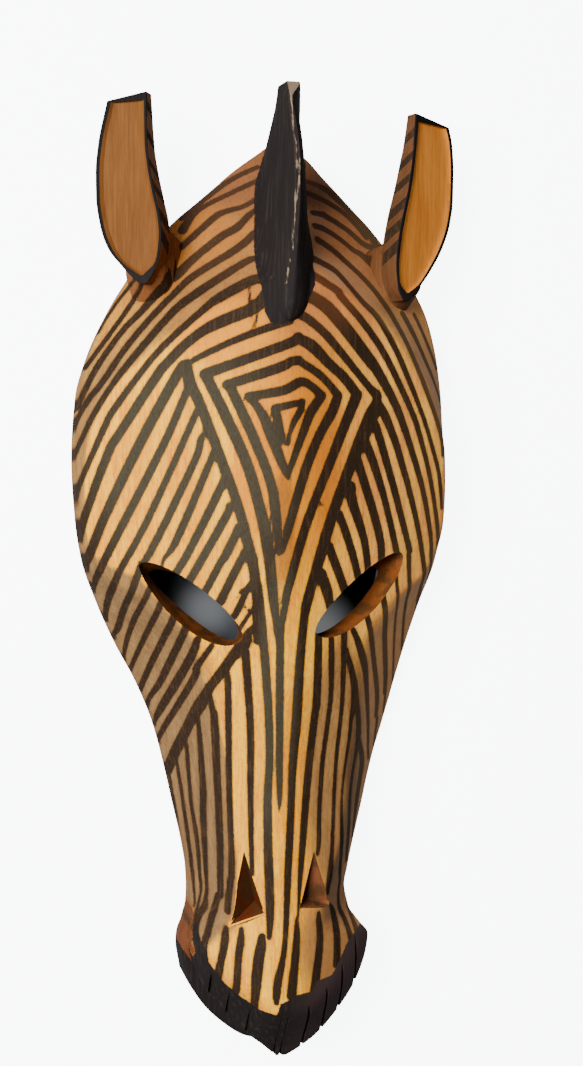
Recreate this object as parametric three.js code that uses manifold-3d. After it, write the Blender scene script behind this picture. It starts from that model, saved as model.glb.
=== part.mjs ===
import * as THREE from "three";
import { mergeVertices } from "three/addons/utils/BufferGeometryUtils.js";
import Module from "manifold-3d";

// A carved zebra mask, cut from one block of pale wood. It lies on the flat rim of its back.
// Millimetres. X runs to the viewer's right, Y up to the crown, Z out of the face.

const wasm = await Module();
wasm.setup();

// The shell of the face
const RIM_LAND = 13;             // width of the flat rim the mask lies on
const WALL = 15;                 // thickness of the carved face
const CAVE_TOP = 206;            // the hollow starts here under the crown
const CAVE_FOOT = -160;          // and ends here, above the solid muzzle
const SIDE_BLEND = 5;            // softness of the corner between the front and the sides
const RIDGE_SOFTNESS = 5;        // softness of the long middle ridge

// Sizes at stations down the face: height Y, left edge, right edge, ridge X, ridge height,
// fall beside the ridge, roundness, height of the upright side, steepness of the bevel
const STATIONS = [
  [236, 4.0, 12.0, 5.0, 84, 0.10, 0.0010, 22, 0.80],
  [229, -5.0, 23.4, 4.0, 84, 0.10, 0.0010, 22, 0.80],
  [219.5, -17.5, 32.4, 3.5, 84, 0.12, 0.0012, 22, 0.80],
  [210.5, -27.4, 41.4, 3.0, 84, 0.12, 0.0013, 22, 0.80],
  [201.5, -37.6, 50.4, 2.5, 84, 0.14, 0.0014, 22, 0.82],
  [192.6, -47.9, 59.2, 2.0, 84, 0.15, 0.0015, 22, 0.85],
  [176, -62.6, 72.5, 1.5, 84.5, 0.17, 0.0016, 22, 0.90],
  [160, -73.8, 84.0, 1.0, 85, 0.19, 0.0017, 22, 0.98],
  [144, -83.2, 92.0, 0.8, 85, 0.21, 0.0018, 22, 1.12],
  [120, -94.1, 98.0, 0.5, 85, 0.22, 0.0019, 22, 1.45],
  [98, -100.1, 100.0, 0.4, 85, 0.22, 0.0020, 24, 2.00],
  [65, -102.1, 99.8, 0.4, 84, 0.22, 0.0020, 31, 3.60],
  [32, -100.2, 98.2, 0.5, 82.5, 0.23, 0.0021, 34, 4.00],
  [10, -96.7, 94.0, 0.8, 80.5, 0.24, 0.0022, 32, 2.60],
  [-12, -89.1, 88.4, 1.0, 78, 0.24, 0.0023, 22, 1.45],
  [-34.5, -79.1, 82.2, 1.3, 74.5, 0.24, 0.0025, 16, 1.30],
  [-57, -67.1, 76.0, 1.6, 70, 0.22, 0.0030, 13, 1.40],
  [-79, -58.1, 69.8, 1.9, 65.5, 0.20, 0.0035, 12, 1.60],
  [-101, -52.1, 63.0, 1.9, 61.5, 0.18, 0.0040, 12, 1.80],
  [-123, -47.1, 57.9, 1.8, 60, 0.16, 0.0045, 12, 2.10],
  [-145, -42.1, 52.4, 1.5, 60.5, 0.15, 0.0050, 13, 2.30],
  [-160, -39.8, 48.8, 1.2, 62.5, 0.14, 0.0060, 15, 2.10],
  [-170, -39.4, 45.8, 1.0, 64.5, 0.13, 0.0068, 20, 1.90],
  [-178, -39.8, 45.6, 0.8, 66, 0.12, 0.0075, 30, 1.50],
  [-184, -41.4, 49.0, 0.7, 66.8, 0.12, 0.0077, 38, 1.25],
  [-191, -42.8, 54.0, 0.6, 67.5, 0.12, 0.0078, 42, 1.15],
  [-200, -41.2, 52.4, 0.5, 68, 0.12, 0.0078, 43, 1.15],
  [-212, -36.8, 47.5, 0.8, 68, 0.12, 0.0078, 43, 1.15],
  [-224, -28.7, 40.5, 1.8, 67.5, 0.12, 0.0078, 43, 1.15],
  [-236, -17.5, 30.5, 3.2, 66.5, 0.12, 0.0078, 44, 1.15],
  [-246, -4.8, 18.5, 4.4, 65.5, 0.12, 0.0078, 46, 1.15],
  [-252.5, 2.6, 8.0, 5.0, 65, 0.12, 0.0078, 48, 1.15],
].reverse();

// The lower jaw, standing out around the upper lip: height Y, half width
const JAW_CENTRE = 4.9;
const JAW_HEIGHT = 28;
const JAW_SOFT = 3;              // rounding of its upper edge
const JAW_WIDTHS = [
  [-166, 30], [-176, 38], [-181, 41.5], [-184.5, 45.4], [-192.4, 49.2], [-201, 50],
  [-211, 48.3], [-215.5, 47], [-228.6, 38.3], [-238, 28.7], [-245, 18.9], [-247.6, 11],
];

// The mouth, a slit round the muzzle between jaw and upper lip
const MOUTH_LOW = 28;
const MOUTH_HIGH = 33.5;
const MOUTH_DEPTH = 11;
const MOUTH_CORNER = -181;

// Grooves across the black lip: X and depth of each
const LIP_GROOVES = [
  [-33, 2.4], [-24, 2.6], [-13.6, 2.4], [1.6, 1.2], [5, 1.2], [16.4, 2.4], [26.9, 2.6], [36.5, 3],
  [45.4, 3],
];
const GROOVE_WIDTH = 2.6;

// The eyes: outer corner, inner corner, rise above and drop below the line between them,
// skew of the lower lid, and how far the hole starts in from the outer corner at the back
const EYES = [
  { outer: [-72, 9], inner: [-20.5, -30], rise: 8.2, drop: 12.9, skew: 1.45, start: 0.17 },
  { outer: [71, 15], inner: [18, -27], rise: 7.8, drop: 13, skew: 1.2, start: 0.3 },
];
const EYE_BACK = 20;             // depth at which the slanted wall of the eye ends
const EYE_BACK_RISE = 1.3;       // rise and drop of the hole there, against the front
const EYE_BACK_DROP = 0.62;

// The nostrils, three-cornered notches: top, foot beside the ridge, outer foot, deepest point
const NOSTRILS = [
  { top: [-17, -140.7], near: [-7.3, -172.3], far: [-24.9, -180.4], deep: [-9.5, -169, 47] },
  { top: [20.4, -142.3], near: [11.5, -170.5], far: [29.5, -172], deep: [14, -167, 47] },
];

// The forelock, a ridged horn that stands up from the brow and runs free past the crown:
// Y, ridge X, ridge height, middle X, half width, height of its foot, depth sunk below the foot
const FORELOCK = [
  [130.5, 1.4, 83.5, 1.4, 2.5, 82, 8], [133, 1.6, 86.5, 1.6, 6.5, 82, 10],
  [137.5, 2.0, 88.5, 2.0, 9.8, 81.5, 12], [143, 2.6, 90, 2.6, 12.3, 80, 12],
  [150, 2.8, 91.5, 2.8, 14, 77, 12], [161, 3.0, 93.5, 3.0, 15, 71, 12],
  [175, 3.2, 96.5, 3.0, 14.6, 64, 12], [190, 3.6, 99.3, 3.0, 13.6, 58, 10],
  [205, 3.7, 100, 2.9, 12.2, 58, 4], [222, 2.6, 99.5, 2.7, 9.9, 63, 3],
  [236, 0.6, 98, 2.7, 7.4, 69, 3], [242.5, -0.4, 97, 2.8, 6.4, 73, 3],
  [252.3, 3.6, 87, 3.6, 4.9, 79, 2],
];

// The ears: where the front plate stands, how far it is turned out, and its leaf outline,
// as rows of height above the tip, inner edge, outer edge
const EARS = [
  {
    side: -1, at: [-76, 51], turn: 30, foot: 153,
    leaf: [[0, -9.5, -5.5], [4.5, -13.0, -0.2], [10.5, -15.6, 5.6], [17, -17.2, 11.2],
      [25, -17.9, 15.2], [32, -17.3, 17.2], [46, -14.3, 19.3], [59, -11.6, 19.5],
      [72.5, -10.0, 18.2], [95.4, -9.5, 12.9]],
    top: 98.6,
  },
  {
    side: 1, at: [84, 48], turn: 30, foot: 148.2,
    leaf: [[0, -17, -13], [4, -19.7, -9], [9, -21.5, -3.6], [18, -22.3, 4.4],
      [31, -20.7, 13.6], [45, -17.3, 19.8], [58, -13.6, 22.2], [75, -10.2, 22.6],
      [89, -8.2, 21.4], [97.5, -7.5, 18.7]],
    top: 101,
  },
];
const EAR_BACK = [[0, 9], [15, 12], [46, 12.5], [72, 10.5], [89, 8], [101, 6]];
const EAR_BACK_WIDTH = 0.9;
const EAR_RIM = 3.4;
const EAR_DISH = 2.4;

// The root of an ear, flaring down into the crown: depth behind the plate, lowest and highest
// reach along the ear, inner and outer reach across it
const EAR_ROOT = [[3, 3, 34, -14, 4], [12, -4, 33, -16, 7], [24, -12, 30, -17, 9], [36, -18, 26, -18, 10]];

const WOOD = new THREE.MeshStandardMaterial({ color: 0xc88f4a, roughness: 0.5 });
WOOD.name = "carved_wood";

// A smooth curve through rows of [position, size, ...], never overshooting them
function sizeAt(rows, position, column) {
  const last = rows.length - 1;
  const slope = (i) => (rows[i + 1][column] - rows[i][column]) / (rows[i + 1][0] - rows[i][0]);
  const lean = (i) => {
    if (i === 0) return slope(0);
    if (i === last) return slope(last - 1);
    const before = slope(i - 1);
    const after = slope(i);
    if (before * after <= 0) return 0;
    const left = rows[i][0] - rows[i - 1][0];
    const right = rows[i + 1][0] - rows[i][0];
    const wl = 2 * right + left;
    const wr = right + 2 * left;
    return (wl + wr) / (wl / before + wr / after);
  };
  let i = 0;
  while (i < last - 1 && position > rows[i + 1][0]) i += 1;
  const span = rows[i + 1][0] - rows[i][0];
  const t = Math.min(1, Math.max(0, (position - rows[i][0]) / span));
  const a = rows[i][column];
  const b = rows[i + 1][column];
  return (2 * t ** 3 - 3 * t ** 2 + 1) * a + (t ** 3 - 2 * t ** 2 + t) * span * lean(i)
    + (-2 * t ** 3 + 3 * t ** 2) * b + (t ** 3 - t ** 2) * span * lean(i + 1);
}

const station = (y, column) => sizeAt(STATIONS, y, column);

function softLower(a, b, blend) {
  const h = Math.min(1, Math.max(0, 0.5 + 0.5 * (b - a) / blend));
  return b * (1 - h) + a * h - blend * h * (1 - h);
}

// The front of the face: its plateau, and how far in from the outline a point lies
function lie(x, y) {
  const step = 5;
  const leftLean = (station(y + step, 1) - station(y - step, 1)) / (2 * step);
  const rightLean = (station(y + step, 2) - station(y - step, 2)) / (2 * step);
  const fromLeft = (x - station(y, 1)) / Math.hypot(1, leftLean);
  const fromRight = (station(y, 2) - x) / Math.hypot(1, rightLean);
  const off = x - station(y, 3);
  const beside = Math.hypot(off, RIDGE_SOFTNESS) - RIDGE_SOFTNESS;
  const front = station(y, 4) - station(y, 5) * beside - station(y, 6) * off * off;
  return { front, inward: softLower(fromLeft, fromRight, 24), lean: [leftLean, rightLean] };
}

function face(x, y) {
  const { front, inward } = lie(x, y);
  return softLower(front, station(y, 7) + station(y, 8) * inward, SIDE_BLEND);
}

// The ceiling of the hollow behind the face
function cave(x, y) {
  const { front, inward } = lie(x, y);
  const steep = station(y, 8);
  const under = station(y, 7) + steep * inward - WALL * Math.hypot(1, steep);
  const side = 3.2 * (inward - RIM_LAND);
  const foot = 1.6 * (y - CAVE_FOOT);
  const roof = softLower(softLower(front - WALL - 1, under, 8), softLower(side, foot, 6), 8);
  return Math.max(0, roof);
}

function meshOf(points, triangles) {
  const geometry = new THREE.BufferGeometry();
  geometry.setAttribute("position", new THREE.Float32BufferAttribute(points.flat(), 3));
  geometry.setIndex(triangles);
  return geometry;
}

// A skin over closed rings of points, capped at both ends
function loft(rings) {
  const around = rings[0].length;
  const points = rings.flat();
  const triangles = [];
  for (let j = 0; j + 1 < rings.length; j += 1) {
    for (let i = 0; i < around; i += 1) {
      const a = j * around + i;
      const b = j * around + (i + 1) % around;
      triangles.push(a, b, b + around, a, b + around, a + around);
    }
  }
  for (const end of [0, rings.length - 1]) {
    const middle = [0, 1, 2].map((k) => rings[end].reduce((sum, p) => sum + p[k], 0) / around);
    const centre = points.push(middle) - 1;
    for (let i = 0; i < around; i += 1) {
      const a = end * around + i;
      const b = end * around + (i + 1) % around;
      triangles.push(...(end === 0 ? [centre, b, a] : [centre, a, b]));
    }
  }
  return meshOf(points, triangles);
}

// A solid from a closed skin, turned right side out where the rings ran the other way
function solid(skin) {
  const { position } = mergeVertices(skin, 1e-4).attributes;
  const index = Array.from(mergeVertices(skin, 1e-4).index.array);
  const fill = (corners) => new wasm.Manifold(new wasm.Mesh({
    numProp: 3, vertProperties: new Float32Array(position.array), triVerts: new Uint32Array(corners),
  }));
  const made = fill(index);
  return made.volume() > 0 ? made : fill(index.map((_, i) => index[i - (i % 3) + [0, 2, 1][i % 3]]));
}

const ACROSS = [0, 0.1, 0.22, 0.35, 0.48, 0.6, 0.71, 0.81, 0.89, 0.945, 0.98, 1];

// Points across one station, from the left edge over the ridge to the right edge
function acrossAt(y, left, right, height) {
  const middle = station(y, 3);
  const row = [];
  for (const u of [...ACROSS].reverse()) row.push(middle + (left - middle) * u);
  for (const u of ACROSS.slice(1)) row.push(middle + (right - middle) * u);
  return row.map((x) => [x, y, height(x, y)]);
}

function spaced(from, to, count) {
  return Array.from({ length: count + 1 }, (_, i) => from + (to - from) * i / count);
}

function headBlock() {
  const rows = [...spaced(-252.5, -180, 14), ...spaced(-174, 132, 42), ...spaced(139, 236, 14)];
  return loft(rows.map((y) => {
    const top = acrossAt(y, station(y, 1), station(y, 2), face);
    return [...top, [station(y, 2), y, 0], [station(y, 1), y, 0]];
  }));
}

function caveBlock() {
  const rows = [...spaced(CAVE_FOOT, -100, 9), ...spaced(-92, 140, 29), ...spaced(147, CAVE_TOP, 9)];
  return loft(rows.map((y) => {
    const lean = lie(0, y).lean;
    const left = station(y, 1) + RIM_LAND * Math.hypot(1, lean[0]);
    const right = station(y, 2) - RIM_LAND * Math.hypot(1, lean[1]);
    const middle = (left + right) / 2;
    const top = acrossAt(y, Math.min(left, middle - 1), Math.max(right, middle + 1), cave);
    return [...top, [top.at(-1)[0], y, -4], [top[0][0], y, -4]];
  }));
}

function jawOutline(grow) {
  const right = JAW_WIDTHS.map(([y, w]) => [JAW_CENTRE + w + grow, y]);
  const left = JAW_WIDTHS.map(([y, w]) => [JAW_CENTRE - w - grow, y]).reverse();
  return [...right, ...left];
}

function jawBlock() {
  const at = (grow, z) => jawOutline(grow).map(([x, y]) => [x, y + (y < -245 ? -grow * 0.8 : 0), z]);
  return loft([at(0, 0), at(0, JAW_HEIGHT - JAW_SOFT), at(-0.3 * JAW_SOFT, JAW_HEIGHT - 1),
    at(-JAW_SOFT, JAW_HEIGHT)]);
}

// The slit of the mouth: a slab over the muzzle with the uncut core left standing
function mouthCut() {
  const slab = loft([MOUTH_LOW, MOUTH_HIGH].map((z) => [
    [-80, -290, z], [80, -290, z], [80, MOUTH_CORNER, z], [-80, MOUTH_CORNER, z]]));
  const rows = spaced(-252.5 + MOUTH_DEPTH * 1.2, -170, 12);
  const core = (z) => {
    const inset = (y, column, sign) => {
      const lean = (station(y + 4, column) - station(y - 4, column)) / 8;
      return station(y, column) + sign * MOUTH_DEPTH * Math.min(1.6, Math.hypot(1, lean));
    };
    const left = rows.map((y) => [Math.min(inset(y, 1, 1), JAW_CENTRE - 1), y, z]);
    const right = rows.map((y) => [Math.max(inset(y, 2, -1), JAW_CENTRE + 1), y, z]);
    return [...right, ...left.reverse()];
  };
  return solid(slab).subtract(solid(loft([core(MOUTH_LOW - 2), core(MOUTH_HIGH + 2)])));
}

// Inner border of the black lip band
const bandEdge = (x) => -225 + 0.0176 * (x - 1) ** 2;

function lipGroove([x, depth]) {
  let y = -252;
  while (y < -182 && (station(y, 1) > x - 0.5 || station(y, 2) < x + 0.5)) y += 0.5;
  const start = new THREE.Vector3(x, Math.max(bandEdge(x), y + 6), 0);
  start.z = face(start.x, start.y) + 0.6;
  const end = new THREE.Vector3(x, y - 2, 0);
  end.z = face(x, y + 0.5) - 3;
  const under = new THREE.Vector3(x, y - 2, MOUTH_HIGH - 3);
  const ring = (p, deep) => [[p.x - GROOVE_WIDTH / 2, p.y, p.z + 0.4], [p.x, p.y + deep * 0.7, p.z - deep],
    [p.x + GROOVE_WIDTH / 2, p.y, p.z + 0.4], [p.x, p.y - 4, p.z + 8]];
  const low = [[x - GROOVE_WIDTH / 2, under.y, under.z], [x, under.y + depth + 2, under.z],
    [x + GROOVE_WIDTH / 2, under.y, under.z], [x, under.y - 6, under.z]];
  return loft([ring(start, 0.4), ring(end, depth + 1), low]);
}

// An almond eye, wide at the front and narrowing through the wood
function eyeCut(eye) {
  const along = new THREE.Vector2(eye.inner[0] - eye.outer[0], eye.inner[1] - eye.outer[1]);
  const length = along.length();
  along.normalize();
  const up = new THREE.Vector2(-along.y, along.x);
  if (up.y < 0) up.negate();
  const almond = (start, over, under) => {
    const steps = 9;
    const lid = (t, tall, skew) => tall * Math.sqrt(Math.max(0, 4 * t ** skew * (1 - t ** skew)));
    const spot = (t, h) => {
      const s = start * length + t * length * (1 - start);
      return [eye.outer[0] + along.x * s + up.x * h, eye.outer[1] + along.y * s + up.y * h];
    };
    const fractions = spaced(0, Math.PI, steps).map((a) => (1 - Math.cos(a)) / 2);
    const upper = fractions.map((t) => spot(t, over * lid(t, eye.rise, 1)));
    const lower = fractions.slice(1, -1).map((t) => spot(t, -under * lid(t, eye.drop, eye.skew)));
    return [...upper, ...lower.reverse()];
  };
  const front = almond(0, 1, 1);
  const back = almond(eye.start, EYE_BACK_RISE, EYE_BACK_DROP);
  const raised = front.map(([x, y], i) => [
    x + 0.9 * (x - back[i][0]), y + 0.9 * (y - back[i][1]), face(x, y) + 0.9 * EYE_BACK]);
  const sunk = back.map(([x, y]) => [x, y, face(x, y) - EYE_BACK]);
  return loft([raised, sunk, back.map(([x, y]) => [x, y, -4])]);
}

function nostrilCut(nostril) {
  const [a, b, c] = [nostril.top, nostril.near, nostril.far].map(([x, y]) => [x, y, face(x, y)]);
  const lift = ([x, y, z]) => [x, y, z + 15];
  const points = [a, b, c, lift(a), lift(b), lift(c), nostril.deep];
  return meshOf(points, [3, 4, 5, 0, 1, 4, 0, 4, 3, 1, 2, 5, 1, 5, 4, 2, 0, 3, 2, 3, 5,
    1, 0, 6, 2, 1, 6, 0, 2, 6]);
}

function forelock() {
  return loft(FORELOCK.map(([y, ridge, top, x, half, foot, sunk]) => {
    const shoulder = foot + (top - foot) * 0.58;
    const inset = half * 0.56;
    return [[ridge, y, top], [(x + ridge) / 2 - inset, y, shoulder], [x - half, y, foot],
      [x - half * 0.8, y, foot - sunk], [x + half * 0.8, y, foot - sunk], [x + half, y, foot],
      [(x + ridge) / 2 + inset, y, shoulder]];
  }));
}

// A point of an ear from its own across, height and depth
function earPoint(ear, across, height, depth) {
  const turn = THREE.MathUtils.degToRad(ear.turn);
  return [
    ear.at[0] + ear.side * (across * Math.cos(turn) - depth * Math.sin(turn)),
    ear.foot + height,
    ear.at[1] - across * Math.sin(turn) - depth * Math.cos(turn),
  ];
}

function earSlice(ear, height, inner, outer, front, back, slant) {
  const far = inner + (outer - inner) * EAR_BACK_WIDTH;
  return [
    earPoint(ear, inner, height + slant, front), earPoint(ear, outer, height, front),
    earPoint(ear, far, height, back), earPoint(ear, inner, height + slant, back)];
}

function earBlade(ear) {
  return loft(ear.leaf.map(([h, inner, outer], i) => earSlice(ear, h, inner, outer, 0,
    sizeAt(EAR_BACK, h, 1), i === ear.leaf.length - 1 ? ear.top - h : 0)));
}

function earRoot(ear) {
  const shift = ear.leaf[0][1] - EARS[0].leaf[0][1];
  return loft(EAR_ROOT.map(([depth, low, high, inner, outer]) => {
    const corner = (outer - inner) * 0.28;
    const a = inner + shift * 0.6;
    const b = outer + shift * 0.6;
    return [[a, low + corner], [a + corner, low], [b - corner, low], [b, low + corner],
      [b, high], [a, high]].map(([across, height]) => earPoint(ear, across, height, depth));
  }));
}

// The shallow dish inside the dark rim of an ear
function earDish(ear) {
  const rows = ear.leaf.slice(2).map(([h, inner, outer], i, all) => [
    i === all.length - 1 ? h - EAR_RIM : h, inner + EAR_RIM * 0.6, outer - EAR_RIM]);
  const tip = (ear.leaf[1][1] + ear.leaf[1][2]) / 2;
  return loft([[EAR_RIM * 1.7, tip - 1, tip + 1], ...rows].map(([h, inner, outer]) => [
    earPoint(ear, inner, h, -6), earPoint(ear, outer, h, -6),
    earPoint(ear, outer, h, EAR_DISH), earPoint(ear, inner, h, EAR_DISH)]));
}

function carve() {
  let mask = solid(headBlock());
  for (const block of [jawBlock(), forelock(), ...EARS.map(earBlade), ...EARS.map(earRoot)]) mask = mask.add(solid(block));
  mask = mask.subtract(solid(caveBlock())).subtract(mouthCut());
  for (const cut of [...EYES.map(eyeCut), ...NOSTRILS.map(nostrilCut), ...EARS.map(earDish),
    ...LIP_GROOVES.map(lipGroove)]) mask = mask.subtract(solid(cut));
  return mask;
}

const carved = carve().getMesh();
const geometry = new THREE.BufferGeometry();
geometry.setAttribute("position", new THREE.Float32BufferAttribute(Array.from(carved.vertProperties), 3));
geometry.setIndex(Array.from(carved.triVerts));
geometry.computeVertexNormals();

const mask = new THREE.Mesh(geometry, WOOD);
mask.name = "carved_mask";

const part = new THREE.Group();
part.name = "zebra_mask";
part.add(mask);

export default part;
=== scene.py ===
# %% [markdown]
# # A carved zebra mask with burnt stripes
# The mask is one block of pale wood: a long face, a forelock that runs free past the crown,
# two upright ears, and a hollow behind for the wearer. It lies on its flat back. Everything is in
# metres in the finished scene, but a carver thinks in millimetres, so the sizes here are in
# millimetres and one helper turns them into metres.

# %% The part and its box
import math
import bpy
import numpy as np
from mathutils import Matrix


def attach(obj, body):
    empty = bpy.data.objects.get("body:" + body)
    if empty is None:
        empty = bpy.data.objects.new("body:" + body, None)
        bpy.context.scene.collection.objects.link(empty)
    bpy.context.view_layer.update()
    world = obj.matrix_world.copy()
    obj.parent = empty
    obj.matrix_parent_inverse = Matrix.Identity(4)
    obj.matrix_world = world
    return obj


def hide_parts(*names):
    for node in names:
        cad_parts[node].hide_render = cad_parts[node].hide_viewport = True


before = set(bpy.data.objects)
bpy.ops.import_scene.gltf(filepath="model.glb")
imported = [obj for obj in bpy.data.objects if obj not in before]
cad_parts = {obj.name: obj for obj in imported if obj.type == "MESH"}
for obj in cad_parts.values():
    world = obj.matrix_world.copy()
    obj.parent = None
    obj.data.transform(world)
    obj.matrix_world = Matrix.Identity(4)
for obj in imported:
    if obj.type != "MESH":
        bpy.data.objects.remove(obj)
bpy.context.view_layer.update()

# %% [markdown]
# ## Helpers of the bench
# Most of the mask's pieces and cutters are shapes drawn out ring by ring, as when a circle is
# extruded again and again and each new ring is pushed to its place. One helper does that for all
# of them. A second one makes a wide sheet of small squares, presses it to the carved surface and
# closes it below, and a third joins or cuts two solids with a Boolean modifier.

# %% Selecting and finishing a solid
MM = 0.001


def only(piece):
    """Selects one piece and nothing else."""
    bpy.ops.object.select_all(action="DESELECT")
    piece.select_set(True)
    bpy.context.view_layer.objects.active = piece


def open_whole(piece):
    """Opens a piece for editing, with all of it selected."""
    only(piece)
    bpy.ops.object.mode_set(mode="EDIT")
    bpy.ops.mesh.select_all(action="SELECT")


def read(items, name, width=1, whole=False):
    """Reads one value, or a row of them, from every item of a mesh."""
    values = np.empty(len(items) * width, dtype=int if whole else float)
    items.foreach_get(name, values)
    return values.reshape(-1, width) if width > 1 else values


def points_of(piece):
    return read(piece.data.vertices, "co", 3) / MM


def put_points(piece, points):
    piece.data.vertices.foreach_set("co", (np.asarray(points, dtype=float) * MM).ravel())
    piece.data.update()


def face_outwards(piece):
    open_whole(piece)
    bpy.ops.mesh.normals_make_consistent(inside=False)
    bpy.ops.object.mode_set(mode="OBJECT")


# %% Drawing a solid out, ring by ring
def draw_out(name, rings):
    """Extrudes a circle once for each ring, then pushes every ring to its own points."""
    rings = np.asarray(rings, dtype=float)
    around = rings.shape[1]
    bpy.ops.object.select_all(action="DESELECT")
    bpy.ops.mesh.primitive_circle_add(vertices=around, radius=1, fill_type="NGON", enter_editmode=True)
    for _ in rings[1:]:
        bpy.ops.mesh.extrude_region_move(TRANSFORM_OT_translate={"value": (0, 0, 1)})
    bpy.ops.object.mode_set(mode="OBJECT")
    piece = bpy.context.object
    piece.name = name
    raw = points_of(piece) * MM
    ring = np.rint(raw[:, 2]).astype(int)
    turn = np.rint(np.arctan2(raw[:, 1], raw[:, 0]) / (2 * np.pi) * around).astype(int) % around
    put_points(piece, rings[ring, turn])
    face_outwards(piece)
    return piece


# %% Pressing a sheet to a carved surface
def press_sheet(name, grid, floor):
    """A grid primitive laid over rows of points, its border drawn down to the floor and closed."""
    grid = np.asarray(grid, dtype=float)
    down, across = grid.shape[0] - 1, grid.shape[1] - 1
    bpy.ops.object.select_all(action="DESELECT")
    bpy.ops.mesh.primitive_grid_add(x_subdivisions=across, y_subdivisions=down, size=2)
    piece = bpy.context.object
    piece.name = name
    raw = points_of(piece) * MM
    column = np.rint((raw[:, 0] + 1) / 2 * across).astype(int)
    row = np.rint((raw[:, 1] + 1) / 2 * down).astype(int)
    put_points(piece, grid[row, column])
    open_whole(piece)
    bpy.ops.mesh.region_to_loop()
    bpy.ops.mesh.extrude_region_move()
    bpy.ops.transform.resize(value=(1, 1, 0), center_override=(0, 0, floor * MM))
    bpy.ops.mesh.edge_face_add()
    bpy.ops.object.mode_set(mode="OBJECT")
    face_outwards(piece)
    return piece


# %% Joining and cutting
FRONT, CREST, EAR, ROOT, JAW, DISH, LID, NOSTRIL, CREASE, INSIDE = range(10)


def mark(piece, kind):
    """Writes on every face which kind of surface it will be on the finished mask."""
    kinds = piece.data.attributes.new("kind", "FLOAT", "FACE")
    kinds.data.foreach_set("value", [float(kind)] * len(piece.data.polygons))
    return piece


def work(block, tool, how, kind):
    """Joins a piece to the block, or cuts it away, and puts the tool back in its drawer."""
    mark(tool, kind)
    change = block.modifiers.new("work", "BOOLEAN")
    change.operation = how
    change.solver = "MANIFOLD"
    change.object = tool
    only(block)
    bpy.ops.object.modifier_apply(modifier=change.name)
    print(tool.name, how.lower(), "->", len(block.data.polygons), "faces")
    bpy.data.objects.remove(tool)


# %% [markdown]
# ## The sizes of the face
# A carver marks out a mask with a few stations down its length: how wide the blank is there, how
# high the middle ridge stands, how fast the plateau falls away beside it, and how the bevel rises
# from the edge. A smooth curve through these rows gives every size at every height, so the same
# table serves the front, the hollow and the pattern.

# %% The table of stations
# height Y, left edge, right edge, ridge X, ridge height, fall, roundness, upright side, bevel
LEFT, RIGHT, RIDGE_X, RIDGE, FALL, ROUNDNESS, UPRIGHT, BEVEL = range(1, 9)
STATIONS = np.array([
    [236, 4.0, 12.0, 5.0, 84, 0.10, 0.0010, 22, 0.80],
    [229, -5.0, 23.4, 4.0, 84, 0.10, 0.0010, 22, 0.80],
    [219.5, -17.5, 32.4, 3.5, 84, 0.12, 0.0012, 22, 0.80],
    [210.5, -27.4, 41.4, 3.0, 84, 0.12, 0.0013, 22, 0.80],
    [201.5, -37.6, 50.4, 2.5, 84, 0.14, 0.0014, 22, 0.82],
    [192.6, -47.9, 59.2, 2.0, 84, 0.15, 0.0015, 22, 0.85],
    [176, -62.6, 72.5, 1.5, 84.5, 0.17, 0.0016, 22, 0.90],
    [160, -73.8, 84.0, 1.0, 85, 0.19, 0.0017, 22, 0.98],
    [144, -83.2, 92.0, 0.8, 85, 0.21, 0.0018, 22, 1.12],
    [120, -94.1, 98.0, 0.5, 85, 0.22, 0.0019, 22, 1.45],
    [98, -100.1, 100.0, 0.4, 85, 0.22, 0.0020, 24, 2.00],
    [65, -102.08, 99.8, 0.4, 84, 0.22, 0.0020, 31, 3.60],
    [32, -100.2, 98.2, 0.5, 82.5, 0.23, 0.0021, 34, 4.00],
    [10, -96.7, 94.0, 0.8, 80.5, 0.24, 0.0022, 32, 2.60],
    [-12, -89.1, 88.4, 1.0, 78, 0.24, 0.0023, 22, 1.45],
    [-34.5, -79.1, 82.2, 1.3, 74.5, 0.24, 0.0025, 16, 1.30],
    [-57, -67.1, 76.0, 1.6, 70, 0.22, 0.0030, 13, 1.40],
    [-79, -58.1, 69.8, 1.9, 65.5, 0.20, 0.0035, 12, 1.60],
    [-101, -52.1, 63.0, 1.9, 61.5, 0.18, 0.0040, 12, 1.80],
    [-123, -47.1, 57.9, 1.8, 60, 0.16, 0.0045, 12, 2.10],
    [-145, -42.1, 52.4, 1.5, 60.5, 0.15, 0.0050, 13, 2.30],
    [-160, -39.8, 48.8, 1.2, 62.5, 0.14, 0.0060, 15, 2.10],
    [-170, -39.4, 45.8, 1.0, 64.5, 0.13, 0.0068, 20, 1.90],
    [-178, -39.8, 45.6, 0.8, 66, 0.12, 0.0075, 30, 1.50],
    [-184, -41.4, 49.0, 0.7, 66.8, 0.12, 0.0077, 38, 1.25],
    [-191, -42.8, 54.0, 0.6, 67.5, 0.12, 0.0078, 42, 1.15],
    [-200, -41.2, 52.4, 0.5, 68, 0.12, 0.0078, 43, 1.15],
    [-212, -36.8, 47.5, 0.8, 68, 0.12, 0.0078, 43, 1.15],
    [-224, -28.7, 40.5, 1.8, 67.5, 0.12, 0.0078, 43, 1.15],
    [-236, -17.5, 30.5, 3.2, 66.5, 0.12, 0.0078, 44, 1.15],
    [-246, -4.8, 18.5, 4.4, 65.5, 0.12, 0.0078, 46, 1.15],
    [-252.5, 2.6, 8.0, 5.0, 65, 0.12, 0.0078, 48, 1.15],
])[::-1]
CROWN_TOP, MUZZLE_END = STATIONS[-1, 0], STATIONS[0, 0]
BROW = 60
print(len(STATIONS), "stations from", MUZZLE_END, "to", CROWN_TOP, "mm")


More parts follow.
